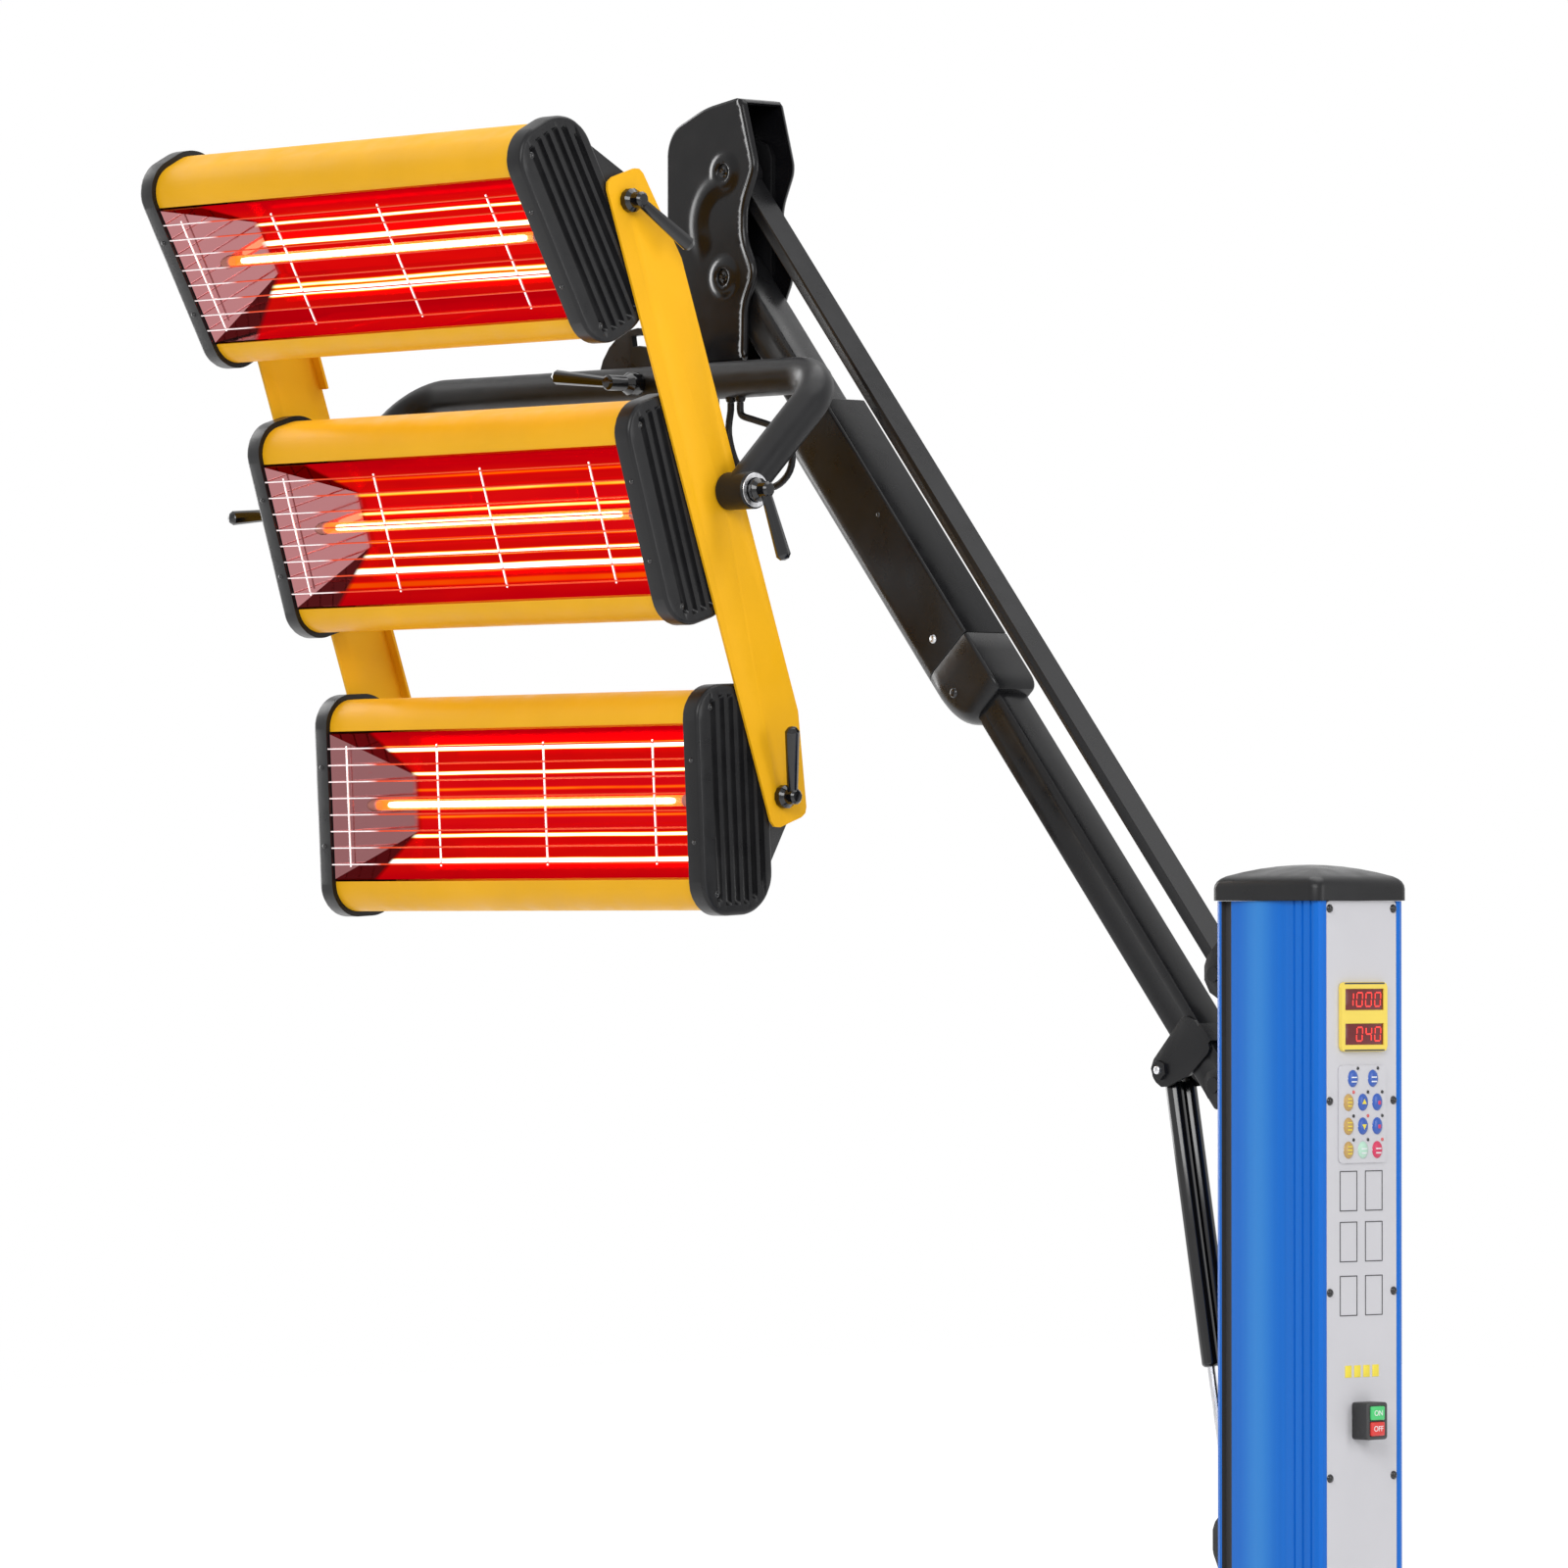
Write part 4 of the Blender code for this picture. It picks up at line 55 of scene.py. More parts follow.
# Places that the small parts are measured from
low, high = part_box("column_profile")
COLUMN = Vector(((low.x + high.x) / 2, (low.y + high.y) / 2, 0.0))
PANEL_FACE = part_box("control_panel")[1].x
TILTS = {"top": math.radians(29.0), "middle": math.radians(17.5), "bottom": math.radians(3.0)}


def pivot(joint_name):
    return Vector(JOINTS[joint_name]["pos_m"])


# ---- materials

WHITE = (1.0, 1.0, 1.0)
WORN = 0.35


def new_material(name):
    made = bpy.data.materials.new(name)
    made.use_nodes = True
    return made, made.node_tree, made.node_tree.nodes["Principled BSDF"]


def told(thing, **values):
    """Writes a thing's plain properties and gives it back."""
    for key, value in values.items():
        setattr(thing, key, value)
    return thing


def add(tree, kind, **values):
    return told(tree.nodes.new(kind), **values)


def feed(tree, socket, value):
    """Links another node's output to a socket, or writes a plain value there."""
    if isinstance(value, bpy.types.NodeSocket):
        tree.links.new(value, socket)
    else:
        socket.default_value = (*value, 1.0) if socket.type == "RGBA" else value


def fed(tree, node, **inputs):
    """Feeds a node's sockets by their names, with _ for each space."""
    for key, value in inputs.items():
        feed(tree, node.inputs[key.replace("_", " ")], value)
    return node


def maths(tree, operation, first, second, use_clamp=False):
    node = add(tree, "ShaderNodeMath", operation=operation, use_clamp=use_clamp)
    feed(tree, node.inputs[0], first)
    feed(tree, node.inputs[1], second)
    return node.outputs[0]


def own_place(tree):
    """Where a point lies in its piece's own space."""
    return add(tree, "ShaderNodeTexCoord").outputs["Object"]


def axes(tree, vector=None):
    return fed(tree, add(tree, "ShaderNodeSeparateXYZ"), Vector=vector or own_place(tree)).outputs


def noise(tree, scale, detail=3.0, stretch=None):
    vector = own_place(tree)
    if stretch is not None:
        vector = fed(tree, add(tree, "ShaderNodeMapping"), Scale=stretch, Vector=vector).outputs["Vector"]
    texture = add(tree, "ShaderNodeTexNoise")
    return fed(tree, texture, Scale=scale, Detail=detail, Vector=vector).outputs["Fac"]


def spread(tree, source, low_value=0.0, high_value=1.0, start=0.3, end=0.7):
    node = add(tree, "ShaderNodeMapRange")
    fed(tree, node, Value=source, From_Min=start, From_Max=end, To_Min=low_value, To_Max=high_value)
    return node.outputs["Result"]


def blended(tree, factor, first, second):
    mix = add(tree, "ShaderNodeMix", data_type="RGBA")
    for socket, value in ((mix.inputs["Factor"], factor), (mix.inputs[6], first), (mix.inputs[7], second)):
        feed(tree, socket, value)
    return mix.outputs[2]


def ramp(tree, source, stops, interpolation="LINEAR"):
    """A colour ramp over a source, from stops of a place and a colour or a grey level."""
    node = fed(tree, add(tree, "ShaderNodeValToRGB"), Fac=source)
    node.color_ramp.interpolation = interpolation
    elements = node.color_ramp.elements
    while len(elements) < len(stops):
        elements.new(0.5)
    for element, (at, value) in zip(elements, stops):
        element.position = at
        element.color = (*value, 1.0) if isinstance(value, tuple) else (value, value, value, 1.0)
    return node.outputs["Color"]


def bumped(tree, shader, height, strength, distance):
    bump = fed(tree, add(tree, "ShaderNodeBump"), Strength=strength, Distance=distance, Height=height)
    fed(tree, shader, Normal=bump.outputs["Normal"])


def coated(name, colour, roughness, vary=0.12, grain=900.0, depth=0.15, sheen=0.5):
    """Paint, powder coat or moulded plastic: uneven tone, fine grain and uneven gloss."""
    made, tree, shader = new_material(name)
    dark = tuple(channel * (1.0 - vary) for channel in colour)
    pale = tuple(min(1.0, channel * (1.0 + vary * 0.5) + 0.002) for channel in colour)
    tone = blended(tree, spread(tree, noise(tree, 9.0, 5.0)), dark, pale)
    matt = min(1.0, roughness * (1.0 + WORN))
    gloss = spread(tree, noise(tree, 38.0, 6.0), roughness * (1.0 - WORN * 0.5), matt)
    fed(tree, shader, Specular_IOR_Level=sheen, Base_Color=tone, Roughness=gloss)
    bumped(tree, shader, noise(tree, grain, 2.0), depth, 0.0004)
    return made


def brushed(name, colour, roughness, stretch):
    """Bright metal with fine drawn lines."""
    made, tree, shader = new_material(name)
    lines = noise(tree, 420.0, 3.0, stretch)
    dark = tuple(channel * 0.82 for channel in colour)
    tone = blended(tree, spread(tree, lines), dark, colour)
    gloss = spread(tree, lines, roughness * 0.75, roughness * 1.35)
    fed(tree, shader, Metallic=1.0, Base_Color=tone, Roughness=gloss)
    bumped(tree, shader, lines, 0.12, 0.0002)
    return made


def glowing(name, colour, strength, streak):
    """A hot surface: its own light, a little uneven along its length."""
    made, tree, shader = new_material(name)
    level = spread(tree, noise(tree, 22.0, 2.0), strength * (1.0 - streak), strength * (1.0 + streak))
    fed(tree, shader, Base_Color=colour, Roughness=0.3, Emission_Color=colour, Emission_Strength=level)
    return made


def lit(made, colour, strength):
    """Gives a material an even light of its own."""
    tree = made.node_tree
    fed(tree, tree.nodes["Principled BSDF"], Emission_Color=colour, Emission_Strength=strength)
    return made


YELLOW = coated("yellow_powder_coat", (0.9, 0.455, 0.008), 0.42, vary=0.06, grain=1300.0, depth=0.08, sheen=0.18)
BLACK_MOULDED = coated("black_moulded_plastic", (0.008, 0.008, 0.009), 0.3, grain=1600.0, depth=0.12, sheen=0.26)
BLACK_GLOSS = coated("black_glossy_plastic", (0.003, 0.003, 0.004), 0.12, grain=700.0, depth=0.03)
BLACK_STEEL = coated("black_powder_coat", (0.009, 0.009, 0.01), 0.36, grain=1100.0, depth=0.12, sheen=0.2)
ARM_GREY = coated("dark_satin_paint", (0.009, 0.009, 0.01), 0.28, grain=1300.0, depth=0.05, sheen=0.24)
HEAD_GREY = coated("dark_moulded_cover", (0.004, 0.004, 0.005), 0.2, grain=1500.0, depth=0.02, sheen=0.24)
LEAD_BLACK = coated("lead_sheath", (0.008, 0.008, 0.009), 0.42, depth=0.1, sheen=0.2)
BRIGHT = brushed("bright_steel", (0.62, 0.62, 0.64), 0.26, (1.0, 1.0, 0.04))
ZINC = brushed("zinc_plated_steel", (0.55, 0.56, 0.58), 0.34, (1.0, 0.2, 1.0))
TYRE = coated("grey_tyre", (0.045, 0.045, 0.048), 0.78, grain=500.0, depth=0.5)
SWITCH_BLACK = coated("switch_plastic", (0.018, 0.018, 0.019), 0.42, grain=1200.0, depth=0.25)
GREEN = coated("green_button_plastic", (0.06, 0.55, 0.16), 0.32, vary=0.05, depth=0.08)
RED = coated("red_button_plastic", (0.66, 0.03, 0.025), 0.32, vary=0.05, depth=0.08)
WHITE_PRINT = coated("white_print", (0.85, 0.85, 0.85), 0.5, vary=0.03, depth=0.03)
DARK_PRINT = coated("dark_print", (0.04, 0.04, 0.045), 0.5, vary=0.03, depth=0.03)


def column_blue():
    """Blue coating with a painted highlight band, and a dark insert in the channel near the rear."""
    made, tree, shader = new_material("blue_anodised_extrusion")
    x = axes(tree)["X"]
    lines = noise(tree, 160.0, 2.0, (1.0, 1.0, 0.01))
    deep = blended(tree, spread(tree, lines), (0.0, 0.128, 0.56), (0.001, 0.14, 0.6))
    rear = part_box("column_profile")[0].x
    # a paler band across the side is a painted highlight, where a light would catch the face
    stops = ((0.0, 0.0), (0.22, 0.1), (0.43, 1.0), (0.64, 0.1), (1.0, 0.0))
    painted_highlight_band = ramp(tree, spread(tree, x, 0.0, 1.0, rear, rear + 0.139), stops, "EASE")
    blue = blended(tree, painted_highlight_band, deep, (0.035, 0.235, 0.66))
    after, before = maths(tree, "GREATER_THAN", x, rear + 0.0088), maths(tree, "LESS_THAN", x, rear + 0.0222)
    insert = maths(tree, "MULTIPLY", after, before)
    fed(tree, shader, Base_Color=blended(tree, insert, blue, (0.055, 0.055, 0.058)),
        Roughness=spread(tree, lines, 0.3, 0.38), Specular_IOR_Level=0.25)
    bumped(tree, shader, lines, 0.04, 0.0002)
    return made


COLUMN_BLUE = column_blue()
PANEL = coated("pale_panel_film", (0.6, 0.595, 0.625), 0.38, vary=0.03, grain=700.0, depth=0.06, sheen=0.3)
SURROUND = coated("yellow_surround", (0.86, 0.66, 0.11), 0.34, vary=0.05, depth=0.05, sheen=0.3)


# painted reflections of the hot tube on each reflector: height above the middle, thickness and brightness from 0 to 1
PAINTED_REFLECTIONS = {
    "top": (
        (-0.06, 0.008, 0.2), (-0.0434, 0.0036, 1.0), (-0.0384, 0.0012, 0.95),
        (0.005, 0.0044, 1.0), (0.0264, 0.0018, 0.95), (0.042, 0.006, 0.3),
    ),
    "middle": (
        (-0.06, 0.003, 0.5), (-0.0492, 0.0042, 1.0), (-0.0374, 0.0022, 0.95),
        (-0.0243, 0.0014, 0.66), (0.006, 0.0018, 0.86), (0.0262, 0.002, 0.74), (0.048, 0.002, 0.55),
    ),
    "bottom": (
        (-0.0584, 0.004, 1.0), (-0.0335, 0.0022, 0.95), (-0.014, 0.0012, 0.6),
        (0.014, 0.0012, 0.6), (0.031, 0.0022, 0.95), (0.0578, 0.0048, 1.0),
    ),
}
TROUGH_HALF = 0.076
# softness of each painted reflection's edge, and the level of the painted red glow between them
PAINTED_REFLECTION_EDGE = 0.0017
PAINTED_GLOW_BETWEEN = 0.27


def painted_reflection_stops(painted_streaks):
    """Stops from the trough's lower lip to its upper one: painted reflection streaks, with a dimmer painted red glow
    between them.
    """
    stops = [(0.0, PAINTED_GLOW_BETWEEN * 0.8)]
    for middle, thick, painted_glow in sorted(painted_streaks):
        half = thick / 2
        for out, level in ((-half - PAINTED_REFLECTION_EDGE, PAINTED_GLOW_BETWEEN), (-half, painted_glow), (half, painted_glow), (half + PAINTED_REFLECTION_EDGE, PAINTED_GLOW_BETWEEN)):
            stops.append(((middle + out) / (2 * TROUGH_HALF) + 0.5, level))
    return stops + [(1.0, PAINTED_GLOW_BETWEEN * 0.7)]


# colours of the painted reflections, from a dim painted red glow to white-hot
PAINTED_REFLECTION_COLOURS = (
    (0.0, (0.05, 0.0, 0.0)), (0.22, (0.52, 0.0, 0.004)), (0.4, (0.92, 0.012, 0.0)), (0.58, (1.0, 0.14, 0.0)),
    (0.72, (1.0, 0.42, 0.02)), (0.84, (1.0, 0.8, 0.22)), (0.93, (1.0, 0.97, 0.72)), (1.0, (1.0, 1.0, 0.92)),
)


def mirror(cassette):
    """Polished reflector with painted light: painted reflection streaks and painted red glow along the emitter's
    length, plain mirror at its left end.
    """
    made, tree, shader = new_material("reflector_mirror_" + cassette)
    local = add(tree, "ShaderNodeMapping", vector_type="TEXTURE")
    fed(tree, local, Location=pivot("cassette_tilt_" + cassette), Rotation=(TILTS[cassette], 0.0, 0.0),
        Vector=own_place(tree))
    at = axes(tree, local.outputs["Vector"])
    inside = spread(tree, at["X"], 0.0, 1.0, -0.2125, -0.2035)
    waver = spread(tree, noise(tree, 5.0, 1.0, (1.0, 0.2, 0.2)), -0.0004, 0.0004)
    share = spread(tree, maths(tree, "ADD", at["Z"], waver), 0.0, 1.0, -TROUGH_HALF, TROUGH_HALF)
    profile = ramp(tree, share, painted_reflection_stops(PAINTED_REFLECTIONS[cassette]))
    uneven = spread(tree, noise(tree, 26.0, 3.0, (0.35, 2.2, 2.2)), 0.92, 1.06, 0.25, 0.75)
    painted_glow = maths(tree, "MULTIPLY", profile, uneven)
    level = maths(tree, "MULTIPLY", inside, spread(tree, painted_glow, 0.88, 2.2, 0.55, 1.0))
    ripple = noise(tree, 60.0, 2.0)
    # the emission is painted light: reflections of the hot tube and its red glow; the red base colour and red
    # specular tint are painted reflected glow too
    fed(tree, shader, Metallic=1.0, Emission_Color=ramp(tree, painted_glow, PAINTED_REFLECTION_COLOURS), Emission_Strength=level,
        Base_Color=blended(tree, inside, (0.3, 0.125, 0.13), (0.11, 0.003, 0.006)),
        Specular_Tint=(0.55, 0.06, 0.07), Roughness=spread(tree, ripple, 0.03, 0.09))
    bumped(tree, shader, ripple, 0.04, 0.001)
    return made


def painted_lit_wire():
    """Guard wire with painted light: pinkish steel with a pale painted glow past the emitter's left end, dark red
    with a painted red glow in front of it.
    """
    made, tree, shader = new_material("guard_wire_long")
    inside = spread(tree, axes(tree)["X"], 0.0, 1.0, -0.212, -0.196)
    lines = spread(tree, noise(tree, 300.0, 2.0))
    steel = blended(tree, lines, (0.66, 0.58, 0.58), (0.78, 0.7, 0.7))
    # the emission and the pink and red tints are painted light from the emitter falling on the wires
    fed(tree, shader, Metallic=1.0, Roughness=0.24, Base_Color=blended(tree, inside, steel, (0.3, 0.02, 0.01)),
        Emission_Color=blended(tree, inside, (1.0, 0.8, 0.8), (1.0, 0.1, 0.015)),
        Emission_Strength=spread(tree, inside, 0.22, 0.5, 0.0, 1.0))
    return made


CORNERS = ("front_left", "front_right", "rear_left", "rear_right")
LEVERS = "yoke_lock_lever yoke_lever_left yoke_lever_right top_cassette_lever bottom_cassette_lever"
FORKS = " ".join("caster_fork_" + corner for corner in CORNERS)
WHEELS = " ".join("caster_wheel_" + corner for corner in CORNERS)
LOOKS = [
    ("leg_left leg_right cross_beam yoke", BLACK_STEEL), ("column_profile", COLUMN_BLUE),
    ("column_cap", BLACK_MOULDED), ("control_panel keypad", PANEL), ("display_bezel", SURROUND),
    ("switch_body", SWITCH_BLACK), ("on_button", GREEN), ("off_button", RED),
    ("rear_bracket main_arm upper_link spring_bracket head_block swivel_arm arm_housing housing_end_cap", ARM_GREY),
    ("head_cover_near head_cover_far", HEAD_GREY),
    ("spring_cylinder_left spring_cylinder_right " + LEVERS, BLACK_GLOSS),
    ("spring_rod_left spring_rod_right", BRIGHT), ("side_bar_left side_bar_right", YELLOW),
    (FORKS, ZINC), (WHEELS, TYRE),
]
for cassette in TILTS:
    LOOKS += [
        ("shell_" + cassette, YELLOW), (f"cap_left_{cassette} cap_right_{cassette}", BLACK_MOULDED),
        ("reflector_" + cassette, mirror(cassette)),
    ]
for names, look in LOOKS:
    for name in names.split():
        NODES[name].data.materials.clear()
        NODES[name].data.materials.append(look)

# ---- shapes

IDENTITY = Matrix.Identity(4)


def new_object(name, data):
    made = bpy.data.objects.new(name, data)
    bpy.context.scene.collection.objects.link(made)
    return made


def piece_from(name, work, look, body, matrix=IDENTITY, smooth=True, turn=35.0):
    mesh = bpy.data.meshes.new(name)
    bmesh.ops.recalc_face_normals(work, faces=work.faces)
    work.to_mesh(mesh)
    work.free()
    if smooth:
        mesh.shade_smooth()
        mesh.set_sharp_from_angle(angle=math.radians(turn))
    mesh.materials.append(look)
    made = new_object(name, mesh)
    made.matrix_world = matrix
    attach(made, body)
    return made


def place(at, turn=(0.0, 0.0, 0.0)):
    return Matrix.Translation(Vector(at)) @ Euler(turn).to_matrix().to_4x4()


def circle(sides):
    """Cosine and sine of evenly spaced angles."""
    return [(math.cos(math.tau * i / sides), math.sin(math.tau * i / sides)) for i in range(sides)]


def skinned(work, rings):
    """Faces between neighbouring closed rings. A ring is many vertices, or one where the skin comes to a point."""
    for first, second in zip(rings, rings[1:]):
        sides = max(len(first), len(second))
        for i in range(sides):
            k = (i + 1) % sides
            corners = [first[i % len(first)], first[k % len(first)], second[k % len(second)], second[i % len(second)]]
            corners = list(dict.fromkeys(corners))
            if len(corners) > 2:
                work.faces.new(corners)


def spun(work, profile, sides, matrix=IDENTITY):
    """A turned shape about Z, from a profile of (radius, height). It is closed if both ends are on the axis."""
    skinned(work, [
        [work.verts.new(matrix @ Vector((radius * c, radius * s, height))) for c, s in circle(sides if radius else 1)]
        for radius, height in profile
    ])


def hooped(work, section, sides, matrix):
    """A turned hoop about Z, from a closed section of (radius, height)."""
    rings = [[work.verts.new(matrix @ Vector((r * c, r * s, h))) for r, h in section] for c, s in circle(sides)]
    skinned(work, rings + rings[:1])


def turned(name, sides, parts, look, body, matrix=IDENTITY):
    """A piece of turned shapes, each given as a profile and its place."""
    work = bmesh.new()
    for profile, at in parts:
        spun(work, profile, sides, at)
    return piece_from(name, work, look, body, matrix)


def mirrored(profile):
    """A profile followed by its own mirror image, for a shape with two like ends."""
    return profile + [(radius, -height, *rest) for radius, height, *rest in reversed(profile)]


def screw(radius, height):
    """Profile of a domed, recessed screw head that rises along +Z."""
    profile = [(0, height * 0.55), (radius * 0.16, height * 0.6), (radius * 0.34, height * 0.97)]
    return profile + [(radius * 0.62, height * 0.86), (radius * 0.88, height * 0.5), (radius, 0), (0, -height * 0.1)]


def block(work, size, centre, bevel=0.0):
    made = bmesh.ops.create_cube(work, size=1.0, matrix=Matrix.Translation(centre) @ Matrix.Diagonal((*size, 1.0)))
    if bevel:
        edges = list({edge for vert in made["verts"] for edge in vert.link_edges})
        bmesh.ops.bevel(work, geom=edges, offset=bevel, segments=2, affect="EDGES", profile=0.5)


def blocks(name, parts, look, body, smooth=True):
    """A piece of small blocks, each given as a size, a centre and the width of its edges."""
    work = bmesh.new()
    for size, centre, bevel in parts:
        block(work, size, centre, bevel)
    return piece_from(name, work, look, body, smooth=smooth)


TO_PLUS_X = (0.0, math.pi / 2, 0.0)


def arc(centre, radius, start, end, steps):
    """Points of an arc, both ends included."""
    angles = [start + (end - start) * i / steps for i in range(steps + 1)]
    return [(centre[0] + radius * math.cos(angle), centre[1] + radius * math.sin(angle)) for angle in angles]


def round_corner(before, here, after, radius, steps):
    """Points of the arc that rounds a corner, in a plane or in space."""
    back, ahead = (before - here).normalized(), (after - here).normalized()
    half = back.angle(ahead) / 2
    middle = here + (back + ahead).normalized() * (radius / math.sin(half))
    first, last = [here + way * (radius / math.tan(half)) - middle for way in (back, ahead)]
    swing = first.angle(last)
    shares = [(math.sin((1 - i / steps) * swing), math.sin(i / steps * swing)) for i in range(steps + 1)]
    return [middle + (first * early + last * late) / math.sin(swing) for early, late in shares]


def rounded(corners, steps=10):
    """An outline with each (x, y, radius) corner rounded, whichever way it turns."""
    points = [Vector(corner[:2]) for corner in corners]
    outline = []
    for before, here, after, corner in zip(points[-1:] + points, points, points[1:] + points[:1], corners):
        arc_points = round_corner(before, here, after, corner[2], steps) if corner[2] else [here]
        outline += [tuple(point) for point in arc_points]
    return outline


def loft(work, rings, matrix=IDENTITY):
    """A closed skin through rings of equally many points, with both ends filled."""
    made = [[work.verts.new(matrix @ Vector(point)) for point in ring] for ring in rings]
    skinned(work, made)
    work.faces.new(made[0])
    work.faces.new(list(reversed(made[-1])))


def softened(width, names):
    """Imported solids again, with their sharp edges rounded a little and their curves shaded smooth."""
    for name in names.split():
        source = NODES[name].data
        work = bmesh.new()
        work.from_mesh(source)
        bmesh.ops.remove_doubles(work, verts=work.verts, dist=0.000001)
        bmesh.ops.dissolve_limit(work, angle_limit=math.radians(0.6), verts=work.verts, edges=work.edges)
        full = [edge for edge in work.edges if len(edge.link_faces) == 2]
        sharp = [edge for edge in full if edge.calc_face_angle() > math.radians(SOFT_TURN)]
        bmesh.ops.bevel(work, geom=sharp, offset=width, segments=2, profile=0.5, affect="EDGES", clamp_overlap=True)
        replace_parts(piece_from(name + "_soft", work, source.materials[0], BODY_OF[name], turn=SOFT_TURN), name)


SOFT_TURN = 26.0
BODY_OF = {node: body for body, nodes in frame["record"]["behaviour"]["bodies"].items() for node in nodes}

# ---- the lead under the yoke's web, in X and Z from the roll axis

LEAD_RADIUS = 0.0036
LEAD_ROUTE = (
    (0.169, -0.0233), (0.169, -0.0305), (0.166, -0.056), (0.179, -0.087), (0.206, -0.108),
    (0.235, -0.111), (0.257, -0.096), (0.259, -0.072), (0.236, -0.052), (0.207, -0.043),
    (0.187, -0.0375), (0.183, -0.0305), (0.183, -0.0233),
)


def smooth_route(points, steps):
    """Straight in its first and last span, smooth through all the points between."""
    route = [points[0]]
    for i in range(1, len(points) - 2):
        before, here, ahead, after = points[i - 1:i + 3]
        for k in range(steps):
            t = k / steps
            turn = (ahead - before) * t
            bend = (2 * before - 5 * here + 4 * ahead - after) * t ** 2
            twist = (3 * here - before - 3 * ahead + after) * t ** 3
            route.append(here + (turn + bend + twist) / 2)
    return route + [points[-2], points[-1]]


route = smooth_route([pivot("roll") + Vector((x, 0, z)) for x, z in LEAD_ROUTE], 4)
curve = bpy.data.curves.new("yoke_lead_loop", "CURVE")
told(curve, dimensions="3D", bevel_depth=LEAD_RADIUS, bevel_resolution=5, use_fill_caps=True)
spline = curve.splines.new("POLY")
spline.points.add(len(route) - 1)
for point, at in zip(spline.points, route):
    point.co = (*at, 1.0)
spline.use_smooth = True
curve.materials.append(LEAD_BLACK)
lead = new_object("yoke_lead_loop", curve)
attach(lead, "yoke")
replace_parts(lead, "yoke_lead")

# ---- control panel: screws, windows, digits, keys, frames


def panel_point(y, z, out=0.0):
    """A point over the panel's face: y to the side of the column's middle, z above the floor."""
    return Vector((PANEL_FACE + out, COLUMN.y + y, z))


turned("panel_screws", 20, [
    (screw(0.0042, 0.0026), place(panel_point(y, z), TO_PLUS_X))
    for z in (1.3145, 1.129, 0.9445, 0.766) for y in (-0.0445, 0.0445)
], BLACK_GLOSS, "stand")

bezel_low, bezel_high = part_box("display_bezel")
bezel_middle = (bezel_low.z + bezel_high.z) / 2
window_face = bezel_high.x - 0.0015
WINDOW_UP = 0.01675
lens = coated("dark_red_window", (0.09, 0.002, 0.004), 0.12, vary=0.2, grain=400.0, depth=0.02)
blocks("display_windows", [
    ((0.0004, 0.0532, 0.0202), (window_face + 0.0003, COLUMN.y, bezel_middle + up), 0.0001)
    for up in (-WINDOW_UP, WINDOW_UP)
], lit(lens, (0.5, 0.0, 0.0), 0.09), "stand")

# seven-segment figures, read from +X with +Y to the right; each bar has its place to the side in half
# widths, its place up in quarter heights, and its size
DIGIT_WIDE, DIGIT_TALL, DIGIT_BAR = 0.0078, 0.0132, 0.0013
DIGIT_PITCH = 0.0127
DIGIT_LEAN = 0.1
LEVEL_BAR = (DIGIT_WIDE - DIGIT_BAR, DIGIT_BAR)
UPRIGHT_BAR = (DIGIT_BAR, DIGIT_TALL / 2 - DIGIT_BAR)
BARS = {
    "a": (0, 2, LEVEL_BAR), "g": (0, 0, LEVEL_BAR), "d": (0, -2, LEVEL_BAR), "f": (-1, 1, UPRIGHT_BAR),
    "b": (1, 1, UPRIGHT_BAR), "e": (-1, -1, UPRIGHT_BAR), "c": (1, -1, UPRIGHT_BAR),
}
FIGURES = {"0": "abcdef", "1": "bc", "4": "fgbc", " ": ""}
bars = []
for text, window in (("1000", WINDOW_UP), (" 040", -WINDOW_UP)):
    for i, figure in enumerate(text):
        for key in FIGURES[figure]:
            side, rise, size = BARS[key]
            up = rise * DIGIT_TALL / 4
            y = (i - 1.5) * DIGIT_PITCH + side * DIGIT_WIDE / 2 + up * DIGIT_LEAN
            bars.append(((0.0003, *size), (window_face + 0.0007, COLUMN.y + y, bezel_middle + window + up), 0.0001))
blocks("display_figures", bars, glowing("red_figures", (1.0, 0.05, 0.04), 0.6, 0.1), "stand", smooth=False)
blocks("bezel_edge_lines", [
    ((0.0012, 0.056, 0.0017), (bezel_high.x - 0.0004, COLUMN.y, z), 0.0003)
    for z in (bezel_low.z + 0.0012, bezel_high.z - 0.0012)
], DARK_PRINT, "stand")

# key faces lie just over the keypad's domes, in the photograph's colours and with plain generic marks
KEY_LOOKS = {
    name.split("_")[-1]: coated("key_" + name, colour, roughness, vary=vary, depth=0.05)
    for name, colour, roughness, vary in (
        ("blue", (0.02, 0.09, 0.42), 0.3, 0.05), ("brown", (0.5, 0.31, 0.09), 0.35, 0.08),
        ("pale_green", (0.45, 0.68, 0.55), 0.35, 0.05), ("red", (0.6, 0.03, 0.1), 0.35, 0.05),
        ("white", (0.78, 0.8, 0.82), 0.35, 0.05), ("yellow", (0.86, 0.7, 0.05), 0.35, 0.05),
    )
}
MIDDLE_KEYS = (("brown", "bars"), ("blue", "arrow"), ("blue", "square"))
LOWEST_KEYS = (("brown", "bars"), ("green", "white"), ("red", "white"))
KEY_ROWS = ((("blue", "white"), ("blue", "white")), MIDDLE_KEYS, MIDDLE_KEYS, LOWEST_KEYS)
KEY_RISE = 0.0022
KEY_WIDE, KEY_TALL = 0.0139, 0.0167
KEY_ROW_PITCH = 0.023
KEY_DOME = [(math.cos(k * math.pi / 8), (KEY_RISE + 0.0001) * math.sin(k * math.pi / 8) + 0.0002) for k in range(4)]
KEY_DOME.append((0, KEY_RISE + 0.0003))
ARROW = [(0, 0.0004), (0.0034, 0.0004), (0.0034, -0.0003), (0, -0.0003)]
